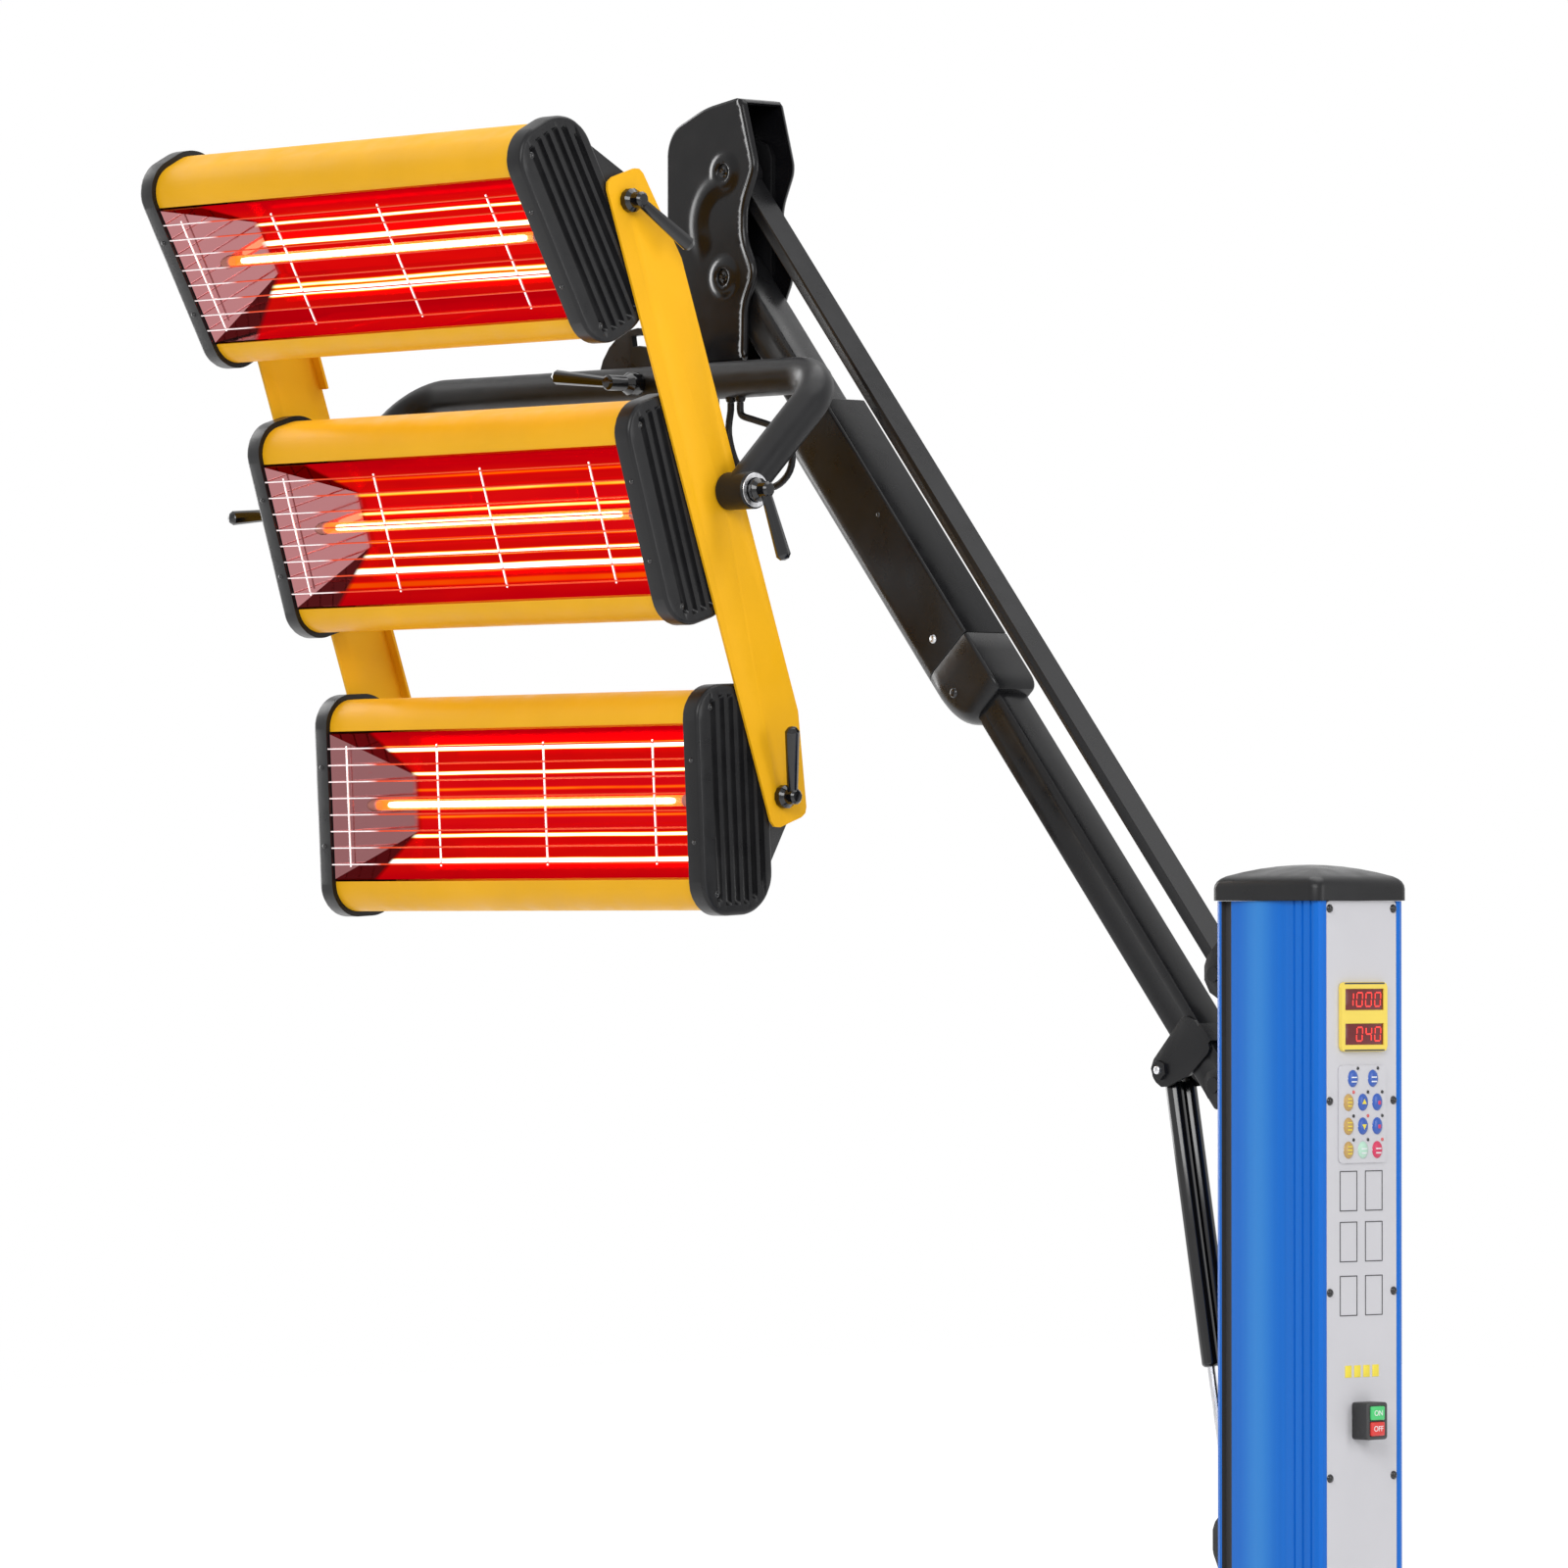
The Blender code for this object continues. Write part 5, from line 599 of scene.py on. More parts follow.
LED = [(0, 0.0012), (0.0011, 0.001), (0.0017, 0.0003), (0.0017, -0.0004), (0, -0.0004)]
keypad_low, keypad_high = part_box("keypad")
face = keypad_high.x
key_works = {name: bmesh.new() for name in KEY_LOOKS}
leds = {"dark": [], "red": []}
for row, keys in enumerate(KEY_ROWS):
    pitch = 0.028 if row == 0 else 0.02
    z = (keypad_low.z + keypad_high.z) / 2 + (1.5 - row) * KEY_ROW_PITCH
    for i, (ground, mark) in enumerate(keys):
        y = COLUMN.y + (i - (len(keys) - 1) / 2) * pitch
        oval = Matrix(((0, 0, 1, face - KEY_RISE), (KEY_WIDE / 2, 0, 0, y), (0, KEY_TALL / 2, 0, z), (0, 0, 0, 1)))
        spun(key_works[ground], KEY_DOME, 24, oval)
        if mark == "bars":
            for k in (-1, 0, 1):
                block(key_works["yellow"], (0.0005, 0.0062, 0.0011), (face + 0.0002, y, z + k * 0.0034), 0.0002)
        elif mark == "white":
            for k in (-1, 1):
                at = (face + 0.0001, y, z + k * 0.0021 - 0.001)
                block(key_works["white"], (0.0006, 0.0072, 0.0013), at, 0.0002)
        elif mark == "arrow":
            flip = Matrix.Rotation(math.pi if row == 1 else 0.0, 4, "Z")
            spun(key_works["yellow"], ARROW, 3, place((face, y, z), TO_PLUS_X) @ flip)
        else:
            block(key_works["red"], (0.0006, 0.0038, 0.0038), (face + 0.0001, y + 0.0012, z - 0.0006), 0.0003)
        shade = "red" if (row + 2 * i) % 3 == 1 else "dark"
        leds[shade].append((LED, place((PANEL_FACE + 0.0016, y + 0.0072, z + 0.0098), TO_PLUS_X)))
for name, work in key_works.items():
    piece_from("keys_" + name, work, KEY_LOOKS[name], "stand")
turned("led_dots_dark", 14, leds["dark"], BLACK_GLOSS, "stand")
turned("led_dots_red", 14, leds["red"], coated("led_red", (0.65, 0.1, 0.1), 0.25, vary=0.1), "stand")

# six empty frames and four small squares, left bare
frames = []
for z in (1.042, 0.993, 0.941):
    for y in (-0.0185, 0.0168):
        for side in (-1, 1):
            frames.append(((0.0003, 0.0242, 0.0009), panel_point(y, z + side * 0.019, 0.0002), 0.0))
            frames.append(((0.0003, 0.0009, 0.0372), panel_point(y + side * 0.0117, z, 0.0002), 0.0))
blocks("empty_frames", frames, DARK_PRINT, "stand", smooth=False)
blocks("small_yellow_squares", [
    ((0.0004, 0.009, 0.0115), panel_point((i - 1.5) * DIGIT_PITCH, 0.868, 0.0002), 0.0001) for i in range(4)
], KEY_LOOKS["yellow"], "stand")

for name, text in (("on_button", "ON"), ("off_button", "OFF")):
    button_low, button_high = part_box(name)
    middle = (button_low + button_high) / 2
    letters = bpy.data.curves.new(name + "_word", "FONT")
    told(letters, body=text, size=0.0075, align_x="CENTER", align_y="CENTER", extrude=0.0001)
    letters.materials.append(WHITE_PRINT)
    made = new_object(name + "_word", letters)
    made.matrix_world = place((button_high.x + 0.0001, middle.y, middle.z), (math.pi / 2, 0, math.pi / 2))
    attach(made, name)

# ---- cassettes: rolled shell, ribbed caps, guard wires, hot filament, red quartz, ceramic ends, screws

HOT = glowing("white_hot_filament", (1.0, 0.8, 0.42), 7.0, 0.06)
CERAMIC = coated("white_ceramic", (0.5, 0.2, 0.16), 0.55, vary=0.08, depth=0.2)
QUARTZ, quartz_tree, quartz_shader = new_material("red_hot_quartz")
fed(quartz_tree, quartz_shader, Base_Color=(1.0, 0.1, 0.03), Roughness=0.12, Emission_Color=(1.0, 0.2, 0.012),
    Emission_Strength=spread(quartz_tree, noise(quartz_tree, 26.0, 2.0), 1.4, 1.8), Alpha=0.55)
WIRE_LONG = painted_lit_wire()
WIRE_CROSS = brushed("guard_wire_cross", (0.8, 0.74, 0.74), 0.24, (1.0, 1.0, 0.04))
# painted glow: the cross wires get a pinkish light of their own, as if lit by the emitter
lit(WIRE_CROSS, (1.0, 0.84, 0.82), 0.42)
WIRE_FACE = -0.108
WIRE_PITCH = 0.0172
CROSS_WIRES = (-0.2475, -0.1045, 0.0605, 0.2255)
EMITTER_BACK = -0.074
SHELL_HIGH = 0.1105
SHELL_LIP = 0.0781
SHELL_WALL = 0.0022
SHELL_REAR_CORNER = 0.038
SHELL_FRONT_CORNER = 0.92 * (SHELL_HIGH - SHELL_LIP)
SHELL_FRONT = -0.104
SHELL_REAR = -0.018
SHELL_END = 0.275
CAP_START = SHELL_END + 0.0003
CAP_DEPTH = 0.0207
CAP_STEP = 0.005
CAP_FRONT = SHELL_FRONT - CAP_STEP
CAP_REAR = SHELL_REAR + CAP_STEP
CAP_HIGH = SHELL_HIGH + CAP_STEP + 0.0005
FRONT_CORNER = SHELL_FRONT_CORNER + CAP_STEP
REAR_CORNER = SHELL_REAR_CORNER + CAP_STEP
GROOVE_DEPTH = 0.006
GROOVE_HALF = 0.0038
GROOVE_PITCH = 0.012
GROOVE_INSET = 0.0105
GROOVES = [(CAP_FRONT + CAP_REAR) / 2 + 0.004 + (i - 2.5) * GROOVE_PITCH for i in range(6)]
CAP_EDGE = 0.004
LUG_RADIUS = 0.028
LUG_ROOT = 0.085
CAP_POINTS = 10


def shell_section():
    low, high, wall = SHELL_FRONT, SHELL_REAR, SHELL_WALL
    outer = [(low, SHELL_LIP, 0), (low, SHELL_HIGH, SHELL_FRONT_CORNER), (high, SHELL_HIGH, SHELL_REAR_CORNER)]
    inner = [
        (low + wall, SHELL_LIP, 0), (low + wall, SHELL_HIGH - wall, SHELL_FRONT_CORNER - wall),
        (high - wall, SHELL_HIGH - wall, SHELL_REAR_CORNER - wall),
    ]
    return rounded(mirrored(outer) + mirrored(inner)[::-1])


def cap_reach(y, inset):
    """Half height of the cap's outline, drawn in by inset, at this depth."""
    for corner, into in ((FRONT_CORNER, CAP_FRONT + FRONT_CORNER - y), (REAR_CORNER, y - CAP_REAR + REAR_CORNER)):
        if into > 0:
            return CAP_HIGH - corner + math.sqrt(max(0.0, (corner - inset) ** 2 - into ** 2))
    return CAP_HIGH - inset


def edge_distance(y, z):
    """How far a point of the cap's face is from the cap's outline."""
    front = y < CAP_FRONT + FRONT_CORNER
    corner = FRONT_CORNER if front else REAR_CORNER
    beyond = abs(z) - (CAP_HIGH - corner)
    sideways = CAP_FRONT + FRONT_CORNER - y if front else max(0.0, y - CAP_REAR + REAR_CORNER)
    if beyond > 0:
        return corner - math.hypot(beyond, sideways)
    return min(corner - sideways, CAP_HIGH - abs(z))


def cap_height(y, z):
    """The cap's face: a rounded rim and upright grooves with round floors and ends."""
    away = edge_distance(y, z)
    height = CAP_DEPTH
    if away < CAP_EDGE:
        height -= CAP_EDGE - math.sqrt(max(0.0, CAP_EDGE ** 2 - (CAP_EDGE - away) ** 2))
    for groove in GROOVES:
        off = abs(y - groove)
        if off < GROOVE_HALF:
            cross = math.cos(off / GROOVE_HALF * math.pi / 2) ** 0.7
            end = min(1.0, max(0.0, (cap_reach(groove, GROOVE_INSET) - abs(z)) / 0.0055))
            height -= GROOVE_DEPTH * cross * math.sin(end * math.pi / 2)
    return height


def stations(start, end, inset):
    """Stations that crowd towards both ends of a span."""
    steps = [inset * (1 - math.cos(i * math.pi / 2 / 5)) for i in range(6)]
    return [start + step for step in steps] + [end - step for step in reversed(steps)]


def ribbed_cap(work, side):
    """A cap with its grooved face, its flat underside and its lug, in the cassette's own space."""
    depths = stations(CAP_FRONT, CAP_REAR, CAP_EDGE)
    for i in range(1, 7):
        depths += [CAP_FRONT + CAP_EDGE + 0.0045 * i, CAP_REAR - CAP_EDGE - 0.0045 * i]
    for groove in GROOVES:
        depths += [groove + GROOVE_HALF * share for share in (-1.0, -0.86, -0.6, -0.3, 0.0, 0.3, 0.6, 0.86, 1.0)]
    depths = sorted(depths)
    depths = [y for i, y in enumerate(depths) if i == 0 or y - depths[i - 1] > 0.0002]
    columns = []
    for y in depths:
        top = cap_reach(y, 0.0)
        groove_end = min(top - 0.0002, max(0.0, cap_reach(y, GROOVE_INSET)))
        ups = [top - CAP_EDGE * 1.6 * (1 - math.cos(i * math.pi / 2 / 5)) for i in range(6)]
        ups += [groove_end - 0.0062 * i / 4 for i in range(5)]
        ups = sorted({round(max(0.0, up), 6) for up in ups}, reverse=True)[:CAP_POINTS]
        while len(ups) < CAP_POINTS:
            ups.append(ups[-1] * 0.9)
        column = ups + [0.0] + [-up for up in reversed(ups)]
        columns.append([work.verts.new((side * (CAP_START + cap_height(y, z)), y, z)) for z in column])
    for before, after in zip(columns, columns[1:]):
        for i in range(len(before) - 1):
            work.faces.new((before[i], before[i + 1], after[i + 1], after[i]))
    border = [column[0] for column in columns] + columns[-1][1:] + [column[-1] for column in reversed(columns[:-1])]
    border += list(reversed(columns[0][1:-1]))
    under = [work.verts.new((side * CAP_START, vert.co.y, vert.co.z)) for vert in border]
    skinned(work, [border, under])
    work.faces.new(under)
    reach = math.hypot(CAP_REAR, LUG_ROOT)
    touch = math.atan2(LUG_ROOT, CAP_REAR) - math.acos(LUG_RADIUS / reach)
    lug = [(CAP_REAR - CAP_STEP, LUG_ROOT - CAP_STEP)] + arc((0, 0), LUG_RADIUS, touch, -touch, 24)
    lug += [(CAP_REAR - CAP_STEP, CAP_STEP - LUG_ROOT)]
    rings = []
    for depth, inset in ((0.0012, 0.0), (0.0123, 0.0), (0.0132, 0.0004), (0.0135, 0.0012)):
        scale = 1.0 - inset / 0.05
        rings.append([(side * (CAP_START + depth), CAP_REAR + (y - CAP_REAR) * scale, z * scale) for y, z in lug])
    loft(work, rings)


RODS = mirrored([(0, 0.2748), (0.0008, 0.2748)])
CROSS_ROD = mirrored([(0, 0.0625), (0.0008, 0.0629), (0.0011, 0.0622)])
COILS = 74
FILAMENT = [(0, 0.222), (0.0028, 0.219)]
FILAMENT += [(0.0034 if i % 2 else 0.0032, 0.214 - 0.428 * i / COILS) for i in range(COILS + 1)]
FILAMENT += [(0.0028, -0.219), (0, -0.222)]
TUBE = mirrored([(0, 0.24), (0.0042, 0.238), (0.0056, 0.234)])
PLUG = [(0, 0.253), (0.0052, 0.253), (0.0063, 0.2515), (0.0063, 0.237), (0.0035, 0.2345), (0, 0.2345)]
STUD_START = 0.2855
COLLAR_END = 0.2962
BOLT_START = 0.3006
for name, tilt in TILTS.items():
    body = "cassette_" + name
    local = place(pivot("cassette_tilt_" + name), (tilt, 0, 0))
    places = [place((0, WIRE_FACE, (i - 3.5) * WIRE_PITCH), TO_PLUS_X) for i in range(8)]
    wires = turned("guard_long_wires_" + name, 8, [(RODS, at) for at in places], WIRE_LONG, body, local)
    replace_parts(wires, "guard_" + name)
    work = bmesh.new()
    loft(work, [[(x, y, z) for y, z in shell_section()] for x in (-SHELL_END, SHELL_END)], local)
    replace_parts(piece_from("shell_wrap_" + name, work, YELLOW, body, turn=24.0), "shell_" + name)
    for side_name, side in (("left", -1), ("right", 1)):
        node = "cap_" + side_name + "_" + name
        cap_low, cap_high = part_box(node)
        end = cap_high.x - local.translation.x if side > 0 else local.translation.x - cap_low.x
        along = place((0, 0, 0), (0, side * math.pi / 2, 0))
        work = bmesh.new()
        ribbed_cap(work, side)
        wide, slim = (0.012, 0.008) if name == "middle" else (0.009, 0.005)
        stud = [(0, STUD_START), (wide, STUD_START), (wide, COLLAR_END), (slim, COLLAR_END), (slim, end), (0, end)]
        spun(work, stud, 24, along)
        if side < 0 and name != "middle":
            bolt = [(0, BOLT_START), (0.0098, BOLT_START), (0.0098, end - 0.0014), (0.0084, end - 0.0001)]
            spun(work, bolt + [(0, end - 0.0001)], 6, along)
        bmesh.ops.transform(work, matrix=local, verts=work.verts)
        cap = piece_from("ribbed_cap_" + side_name + "_" + name, work, BLACK_MOULDED, body, turn=30.0)
        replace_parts(cap, node)
    crossings = [(CROSS_ROD, place((x, WIRE_FACE + 0.002, 0))) for x in CROSS_WIRES]
    turned("guard_cross_wires_" + name, 10, crossings, WIRE_CROSS, body, local)
    centre = local @ place((0, EMITTER_BACK, 0), TO_PLUS_X)
    turned("filament_" + name, 12, [(FILAMENT, centre)], HOT, body)
    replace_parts(turned("quartz_tube_" + name, 24, [(TUBE, centre)], QUARTZ, body), "emitter_" + name)
    plugs = [([(radius, side * height) for radius, height in PLUG], centre) for side in (-1, 1)]
    turned("ceramic_ends_" + name, 20, plugs, CERAMIC, body)
    heads = []
    for side in (-1, 1):
        for up in (-1, 1):
            at = (side * (CAP_START + CAP_DEPTH - 0.0002), -0.0905, up * 0.0935)
            heads.append((screw(0.0034, 0.0008), local @ place(at, (0, side * math.pi / 2, 0))))
            at = (side * (SHELL_END + 0.0105), CAP_FRONT - 0.0001, up * 0.041)
            heads.append((screw(0.0026, 0.0014), local @ place(at, (math.pi / 2, 0, 0))))
    turned("cap_screws_" + name, 20, heads, BLACK_GLOSS, body)

# ---- moulded head covers: a flat sheet with a rolled rear lip, dished bosses and a raised crescent

COVER_FACE = 0.0268
COVER_SHEET = 0.003
COVER_RISE = 0.1086
COVER_TOP = COVER_RISE + 0.076
HEAD_FRONT = 0.0885
COVER_WAIST = 0.0335
COVER_BULGE = 0.0515
COVER_ROUND = 0.03
LIP = 0.0025
COVER_GRID = 0.003
BOSS_RISE = 0.0028
ROLL_WIDE = 0.009


def cover_outline():
    """The cover seen from the side, with no edge longer than the grid's pitch."""
    r = COVER_ROUND
    corners = rounded([
        (-HEAD_FRONT, -HEAD_FRONT, r / 3), (COVER_WAIST, -HEAD_FRONT, r / 4), (0.035, -r, 0.05),
        (COVER_BULGE, LIP, r), (COVER_WAIST, COVER_RISE * 0.36, 0.05), (COVER_WAIST, COVER_RISE * 0.66, 0.05),
        (COVER_BULGE, COVER_RISE + LIP, r), (COVER_WAIST - LIP, COVER_TOP - LIP, 0.008),
        (COVER_WAIST - r / 2, COVER_TOP, r / 3), (-r, COVER_TOP - r / 4, 0.12),
        (-HEAD_FRONT + r / 3, COVER_TOP - r * 0.9, r), (-HEAD_FRONT, COVER_RISE + r, 0.036),
    ], 8)
    outline = []
    for first, second in zip(corners, corners[1:] + corners[:1]):
        span = Vector(second) - Vector(first)
        parts = max(1, math.ceil(span.length / COVER_GRID))
        outline += [tuple(Vector(first) + span * i / parts) for i in range(parts)]
    return outline


def eased(value):
    value = min(1.0, max(0.0, value))
    return value * value * (3 - 2 * value)


def segment_gap(point, first, second):
    span = second - first
    share = min(1.0, max(0.0, (point - first).dot(span) / max(span.length_squared, 1e-12)))
    return (point - first - span * share).length


def nearest(point, edges):
    """How far a point is from the nearest of the edges."""
    return min(segment_gap(point, first, second) for first, second in edges)


def cover_relief(point, edges):
    """Height of the cover's face over its flat part."""
    height = 0.0
    for pivot_up in (0.0, COVER_RISE):
        reach = (point - Vector((0.0, pivot_up))).length
        height = max(height, BOSS_RISE * eased((0.0235 - reach) / 0.0095))
        height -= 0.0055 * eased((0.0098 - reach) / 0.003) * (1.0 if reach < 0.0098 else 0.0)
    spot = point - Vector((0.002, 0.057))
    angle = math.degrees(math.atan2(spot.y, spot.x)) % 360
    fade = eased((angle - 72) / 34) * eased((232 - angle) / 36)
    across = min(1.0, abs(spot.length - 0.0415) / 0.0155)
    height = max(height, BOSS_RISE * fade * math.cos(across * math.pi / 2) ** 1.4)
    rear = nearest(point, [
        edge for edge in edges if edge[0].x > 0.012 and -HEAD_FRONT * 0.9 < edge[0].y < COVER_TOP - 0.003])
    if rear < ROLL_WIDE:
        roll = math.sin(rear / ROLL_WIDE * math.pi) ** 0.8
        height = max(height, 0.0029 * roll * eased((point.x - 0.008) / 0.008))
    return height - 0.0016 * (1 - eased(nearest(point, edges) / 0.0022))


def head_cover(name, side):
    """One cover: a relief face and a flat back over the same points, a rim, and a crown over the gap."""
    outline = [Vector(point) for point in cover_outline()]
    edges = list(zip(outline, outline[1:] + outline[:1]))
    points = list(outline)
    for inset in (0.001, 0.0022, 0.0036, 0.0054, 0.0072, 0.009):
        for before, here, after in zip(outline[-1:] + outline[:-1], outline, outline[1:] + outline[:1]):
            along = (after - before).normalized()
            spot = here + Vector((-along.y, along.x)) * inset
            if nearest(spot, edges) > inset * 0.97:
                points.append(spot)
    for row in range(92):
        for column in range(48):
            spot = Vector((-HEAD_FRONT + (column + (row % 2) / 2) * COVER_GRID, -HEAD_FRONT + row * COVER_GRID))
            if nearest(spot, edges) > 0.0115:
                points.append(spot)
    for pivot_up in (0.0, COVER_RISE):
        for reach in (0.0062, 0.0072, 0.0082, 0.0092, 0.01):
            points += [Vector(spot) for spot in arc((0.0, pivot_up), reach, 0.0, math.tau * 23 / 24, 23)]
    rim = [(i, (i + 1) % len(outline)) for i in range(len(outline))]
    spots, _, faces, *_ = delaunay_2d_cdt(points, rim, [], 1, 0.00005)
    work = bmesh.new()
    fronts = [work.verts.new((spot.x, side * (COVER_FACE + cover_relief(spot, edges)), spot.y)) for spot in spots]
    backs = [work.verts.new((spot.x, side * (COVER_FACE - COVER_SHEET), spot.y)) for spot in spots]
    for face in faces:
        work.faces.new([fronts[i] for i in face])
        work.faces.new([backs[i] for i in reversed(face)])
    open_edges = [edge for edge in work.edges if len(edge.link_faces) == 1]
    twin = dict(zip(fronts, backs))
    for edge in open_edges:
        if edge.verts[0] in twin and edge.verts[1] in twin:
            first, second = edge.verts
            work.faces.new((first, second, twin[second], twin[first]))
    work.verts.ensure_lookup_table()
    bmesh.ops.delete(work, geom=[vert for vert in work.verts if not vert.link_faces], context="VERTS")
    outer = [point for point in outline if point.y > COVER_TOP - (0.03 if point.x < 0.0 else 0.006)]
    centre = Vector(((COVER_WAIST - HEAD_FRONT) / 2, COVER_TOP - 0.03 - COVER_ROUND))
    inner = [centre + (point - centre) * (1 - COVER_SHEET / (point - centre).length) for point in outer]
    crown = outer + list(reversed(inner))
    loft(work, [[(point.x, side * y, point.y) for point in crown] for y in (0.00015, COVER_FACE - COVER_SHEET / 2)])
    at = Matrix.Translation(pivot("head_level"))
    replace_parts(piece_from(name + "_moulding", work, HEAD_GREY, "head", at, turn=50.0), name)


head_cover("head_cover_near", -1)
head_cover("head_cover_far", 1)

# ---- the yoke's bent tube, its bosses, web plate and glands

YOKE_RADIUS = 0.019
YOKE_BEND = 0.05
BOSS_DEEP = 0.039
yoke_low, yoke_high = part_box("yoke")
yoke_ends = pivot("frame_tilt") - pivot("roll")


def bent(points, radius, steps):
    """A route with its inner corners rounded to a radius."""
    route = [points[0]]
    for before, here, after in zip(points, points[1:], points[2:]):
        route += round_corner(before, here, after, radius, steps)
    return route + [points[-1]]


def tube_rings(route, radius, sides):
    """Rings about a route, each square to it, with no twist between them."""
    rings = []
    up = Vector((0, 0, 1))
    for i, here in enumerate(route):
        along = (route[min(i + 1, len(route) - 1)] - route[max(i - 1, 0)]).normalized()
        side = along.cross(up).normalized() if abs(along.dot(up)) < 0.99 else Vector((0, 1, 0))
        other = side.cross(along)
        rings.append([here + (side * c + other * s) * radius for c, s in circle(sides)])
    return rings


work = bmesh.new()
start = (yoke_high.x - yoke_low.x) / 2 - BOSS_DEEP
half = start + YOKE_RADIUS
foot = Vector((0, yoke_ends.y, yoke_ends.z))
corners = [Vector((-half, 0, 0)) + foot, Vector((-half, 0, 0)), Vector((half, 0, 0)), Vector((half, 0, 0)) + foot]
loft(work, tube_rings(bent(corners, YOKE_BEND, 12), YOKE_RADIUS, 32))
boss = ((0.0086, BOSS_DEEP), (0.0176, BOSS_DEEP), (0.019, 0.0376), (0.019, 0.0012), (0.0178, 0), (0.0086, 0))
for side in (-1, 1):
    hooped(work, boss, 32, place(foot + Vector((side * start, 0, 0)), (0, side * math.pi / 2, 0)))
block(work, (0.15, 0.024, 0.034), (0, 0.012, 0), 0.002)
gland = [(0, -0.023), (0.0034, -0.023), (0.0046, -0.0226), (0.0058, -0.019), (0.006, -0.012), (0, -0.012)]
for x in (0.169, 0.183):
    spun(work, gland, 20, Matrix.Translation((x, 0, 0)))
yoke_tube = piece_from("yoke_tube", work, BLACK_STEEL, "yoke", Matrix.Translation(pivot("roll")), turn=32.0)
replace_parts(yoke_tube, "yoke")

# ---- the column's domed cap

CAP_CROWN = 0.58
cap_low, cap_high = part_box("column_cap")
cap_size = cap_high - cap_low
work = bmesh.new()
rings = []
for inset, drop in ((0.0, None), (0.0, 0.0086), (0.0006, 0.0052), (0.0024, 0.0024), (0.0052, 0.0008), (0.009, 0.0)):
    half_x, half_y = cap_size.x / 2 - inset, cap_size.y / 2 - inset
    signs = ((1, 1), (-1, 1), (-1, -1), (1, -1))
    outline = rounded([(a * half_x, b * half_y, 0.012 - inset * 0.4) for a, b in signs], 8)
    rings.append([
        (x, y, 0.0 if drop is None else cap_size.z - (x * x + y * y) / CAP_CROWN - drop) for x, y in outline])
rim = rings[-1]
for share in (0.8, 0.6, 0.4, 0.2, 0.05):
    rings.append([
        (x * share, y * share, cap_size.z - (x * x + y * y) * share * share / CAP_CROWN) for x, y, z in rim])
loft(work, rings)
at = Matrix.Translation(((cap_low.x + cap_high.x) / 2, (cap_low.y + cap_high.y) / 2, cap_low.z))
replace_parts(piece_from("column_dome", work, BLACK_MOULDED, "stand", at, turn=40.0), "column_cap")

softened(0.0009, "side_bar_left side_bar_right")

# ---- the arm's moulded housing: rounded below along its whole length, and rounded off at its lower end

ALONG_ARM = Vector((-0.649, 0, 0.76)).normalized()
OVER_ARM = Vector((0.76, 0, 0.649)).normalized()
HOUSING_HALF = 0.03
HOUSING_OVER = 0.031
HOUSING_UNDER = 0.051
HOUSING_START = 0.495
HOUSING_SEAM = 0.568
HOUSING_END_ROUND = 0.056
HOUSING_SIDE_ROUND = 0.018
END_HALF = 0.0235
END_UNDER = 0.0225


def housing_ring(along, trim=0.0):
    """The housing's outline square to the arm, at this distance up it from the lift pivot."""
    into = max(0.0, min(1.0, (HOUSING_START + HOUSING_END_ROUND - along) / HOUSING_END_ROUND))
    under = END_UNDER + (HOUSING_UNDER - END_UNDER) * math.sqrt(1 - into * into) - trim
    into = max(0.0, min(1.0, (HOUSING_START + HOUSING_SIDE_ROUND - along) / HOUSING_SIDE_ROUND))
    half = END_HALF + (HOUSING_HALF - END_HALF) * math.sqrt(1 - into * into) - trim
    over = HOUSING_OVER - 0.004 * into ** 3 - trim
    low_round = min(0.0245, half * 0.82, (over + under) * 0.42)
    corners = [(half, over, 0.0035), (-half, over, 0.0035), (-half, -under, low_round), (half, -under, low_round)]
    foot = pivot("lift") + ALONG_ARM * along
    return [foot + OVER_ARM * up + Vector((0, across, 0)) for across, up in rounded(corners, 9)]


BODY_STOPS = [(HOUSING_SEAM + 0.0002, 0.0008), (HOUSING_SEAM + 0.0012, 0.0), (0.8875, 0.0), (0.8896, 0.0018)]
END_STOPS = [(HOUSING_START + HOUSING_END_ROUND * (1 - math.cos(i * math.pi / 28)), 0.0) for i in range(14)]
END_STOPS += [(0.5665, 0.0), (HOUSING_SEAM - 0.0004, 0.0008)]
for name, node, stops in (
    ("housing_body", "arm_housing", BODY_STOPS), ("housing_end", "housing_end_cap", END_STOPS),
):
    work = bmesh.new()
    loft(work, [housing_ring(along, trim) for along, trim in stops])
    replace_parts(piece_from(name, work, ARM_GREY, "arm", turn=40.0), node)

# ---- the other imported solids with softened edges

for width, names in (
    (0.0016, "main_arm upper_link swivel_arm"), (0.0008, "rear_bracket spring_bracket head_block"),
    (0.002, "leg_left leg_right cross_beam"), (0.0006, LEVERS),
    (0.0008, "spring_cylinder_left spring_cylinder_right"), (0.0012, WHEELS), (0.0005, FORKS),
    (0.0006, "switch_body on_button off_button"),
):
    softened(width, names)

# ---- small parts on the arm, head and yoke


def on_side(x, y, z):
    """A place on a face that looks to -Y."""
    return place((x, y, z), (math.pi / 2, 0, 0))


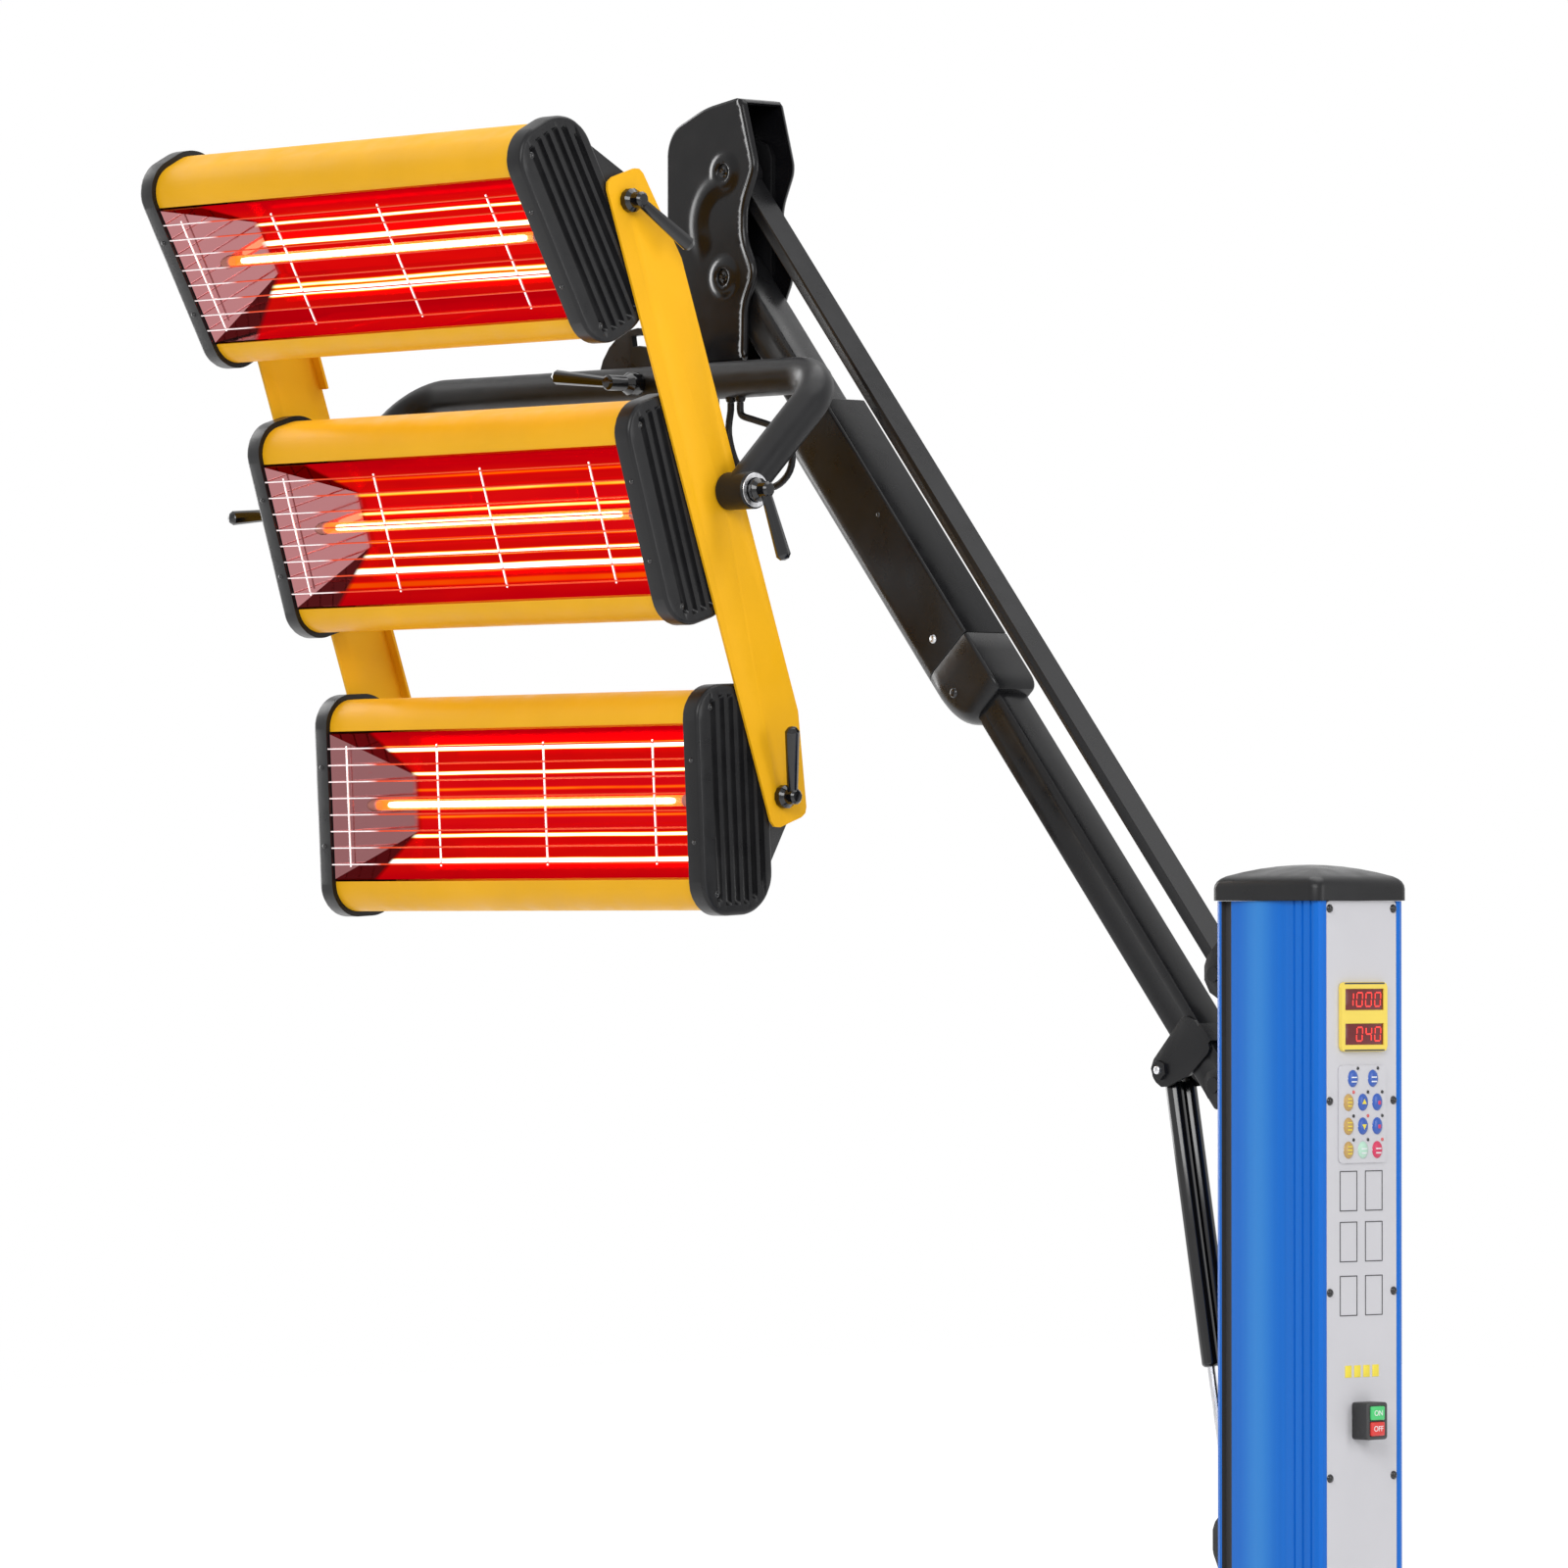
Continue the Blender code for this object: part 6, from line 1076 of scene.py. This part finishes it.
HOUSING_FACE = 0.0627
turned("housing_screw", 20, [(screw(0.0046, 0.0022), on_side(0.0274, HOUSING_FACE, 1.5873))], ZINC, "arm")
turned("housing_dark_screws", 20, [
    (screw(0.0052, 0.002), on_side(0.0572, HOUSING_FACE, 1.5324)),
    (screw(0.0026, 0.0012), on_side(-0.0529, HOUSING_FACE, 1.7154)),
], BLACK_GLOSS, "arm")
dome = [(0, 0.0042), (0.0022, 0.0039), (0.004, 0.0026), (0.0046, 0.0008), (0.0046, 0), (0, 0)]
bracket_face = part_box("spring_bracket")[0].y
turned("spring_bolt_dome", 24, [(dome, on_side(0.3455, bracket_face + 0.0003, 1.1561))], BRIGHT, "arm")
bolt = [(0, 0.003), (0.0016, 0.0029), (0.0022, 0.0016), (0.0044, 0.003), (0.006, 0.002), (0.0062, 0), (0, -0.0004)]
head, cover_face = pivot("head_level"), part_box("head_cover_near")[0].y
places = [on_side(head.x, cover_face + 0.0039, head.z + up) for up in (0.0, COVER_RISE)]
turned("head_bolts", 24, [(bolt, at) for at in places], BLACK_GLOSS, "head")
washer = ((0.0124, 0), (0.0124, 0.0007), (0.0127, 0.001), (0.0169, 0.001), (0.0172, 0.0007), (0.0172, 0))
work = bmesh.new()
for side, side_name in ((1, "right"), (-1, "left")):
    at = pivot("yoke_lever_" + side_name + "_turn") - Vector((side * 0.0002, 0, 0))
    hooped(work, washer, 32, place(at, (0, side * math.pi / 2, 0)))
piece_from("yoke_washers", work, BRIGHT, "yoke")

# ---- stage, light and camera

floor_work = bmesh.new()
bmesh.ops.create_grid(floor_work, x_segments=1, y_segments=1, size=14.0)
floor_mesh = bpy.data.meshes.new("floor")
floor_work.to_mesh(floor_mesh)
floor_work.free()
floor = new_object("floor", floor_mesh)
floor.location = (0, 0, -0.0005)


def seen_directly(tree):
    """1 for what the camera sees, straight or through a mirror or glass, and 0 for what lights the object."""
    path = add(tree, "ShaderNodeLightPath")
    total = path.outputs["Is Camera Ray"]
    for kind in ("Is Glossy Ray", "Is Transmission Ray"):
        total = maths(tree, "ADD", total, path.outputs[kind], use_clamp=True)
    return total


FLOOR_LIFT = 0.76
AMBIENT = 0.41
BACKDROP = 1.0
floor_look, tree, shader = new_material("pale_floor")
fed(tree, shader, Base_Color=(0.8, 0.8, 0.8), Roughness=0.9, Specular_IOR_Level=0.0, Emission_Color=WHITE,
    Emission_Strength=maths(tree, "MULTIPLY", seen_directly(tree), FLOOR_LIFT))
floor_mesh.materials.append(floor_look)

world = bpy.data.worlds.new("studio")
bpy.context.scene.world = world
world.use_nodes = True
tree = world.node_tree
tree.nodes.clear()
mix = add(tree, "ShaderNodeMixShader")
feed(tree, mix.inputs[0], seen_directly(tree))
for socket, strength in ((mix.inputs[1], AMBIENT), (mix.inputs[2], BACKDROP)):
    feed(tree, socket, fed(tree, add(tree, "ShaderNodeBackground"), Color=WHITE, Strength=strength).outputs[0])
fed(tree, add(tree, "ShaderNodeOutputWorld"), Surface=mix.outputs[0])

target = COLUMN + Vector((-0.45, -0.1, 1.3))
for name, at, power, (wide, tall) in (
    ("key_light", (2.2, -3.6, 3.4), 124.0, (2.6, 2.0)), ("left_light", (-4.4, -0.4, 2.4), 84.0, (1.6, 3.0)),
    ("top_light", (-0.4, 0.6, 4.2), 46.0, (3.0, 2.0)), ("right_light", (3.8, 1.2, 2.0), 46.0, (1.2, 2.8)),
):
    light = bpy.data.lights.new(name, "AREA")
    told(light, shape="RECTANGLE", size=wide, size_y=tall, energy=power)
    lamp = new_object(name, light)
    lamp.location = COLUMN + Vector(at)
    lamp.rotation_euler = (lamp.location - target).to_track_quat("Z", "Y").to_euler()

camera_data = told(bpy.data.cameras.new("camera"), sensor_width=36.0, lens=216.0, clip_end=60.0)
camera = new_object("camera", camera_data)
camera.location = COLUMN + Vector((6.3385, -6.6088, 1.2929))
camera.rotation_euler = (math.radians(90.895), 0.0, math.radians(47.0))
bpy.context.scene.camera = camera
bpy.context.scene.view_settings.view_transform = "Standard"
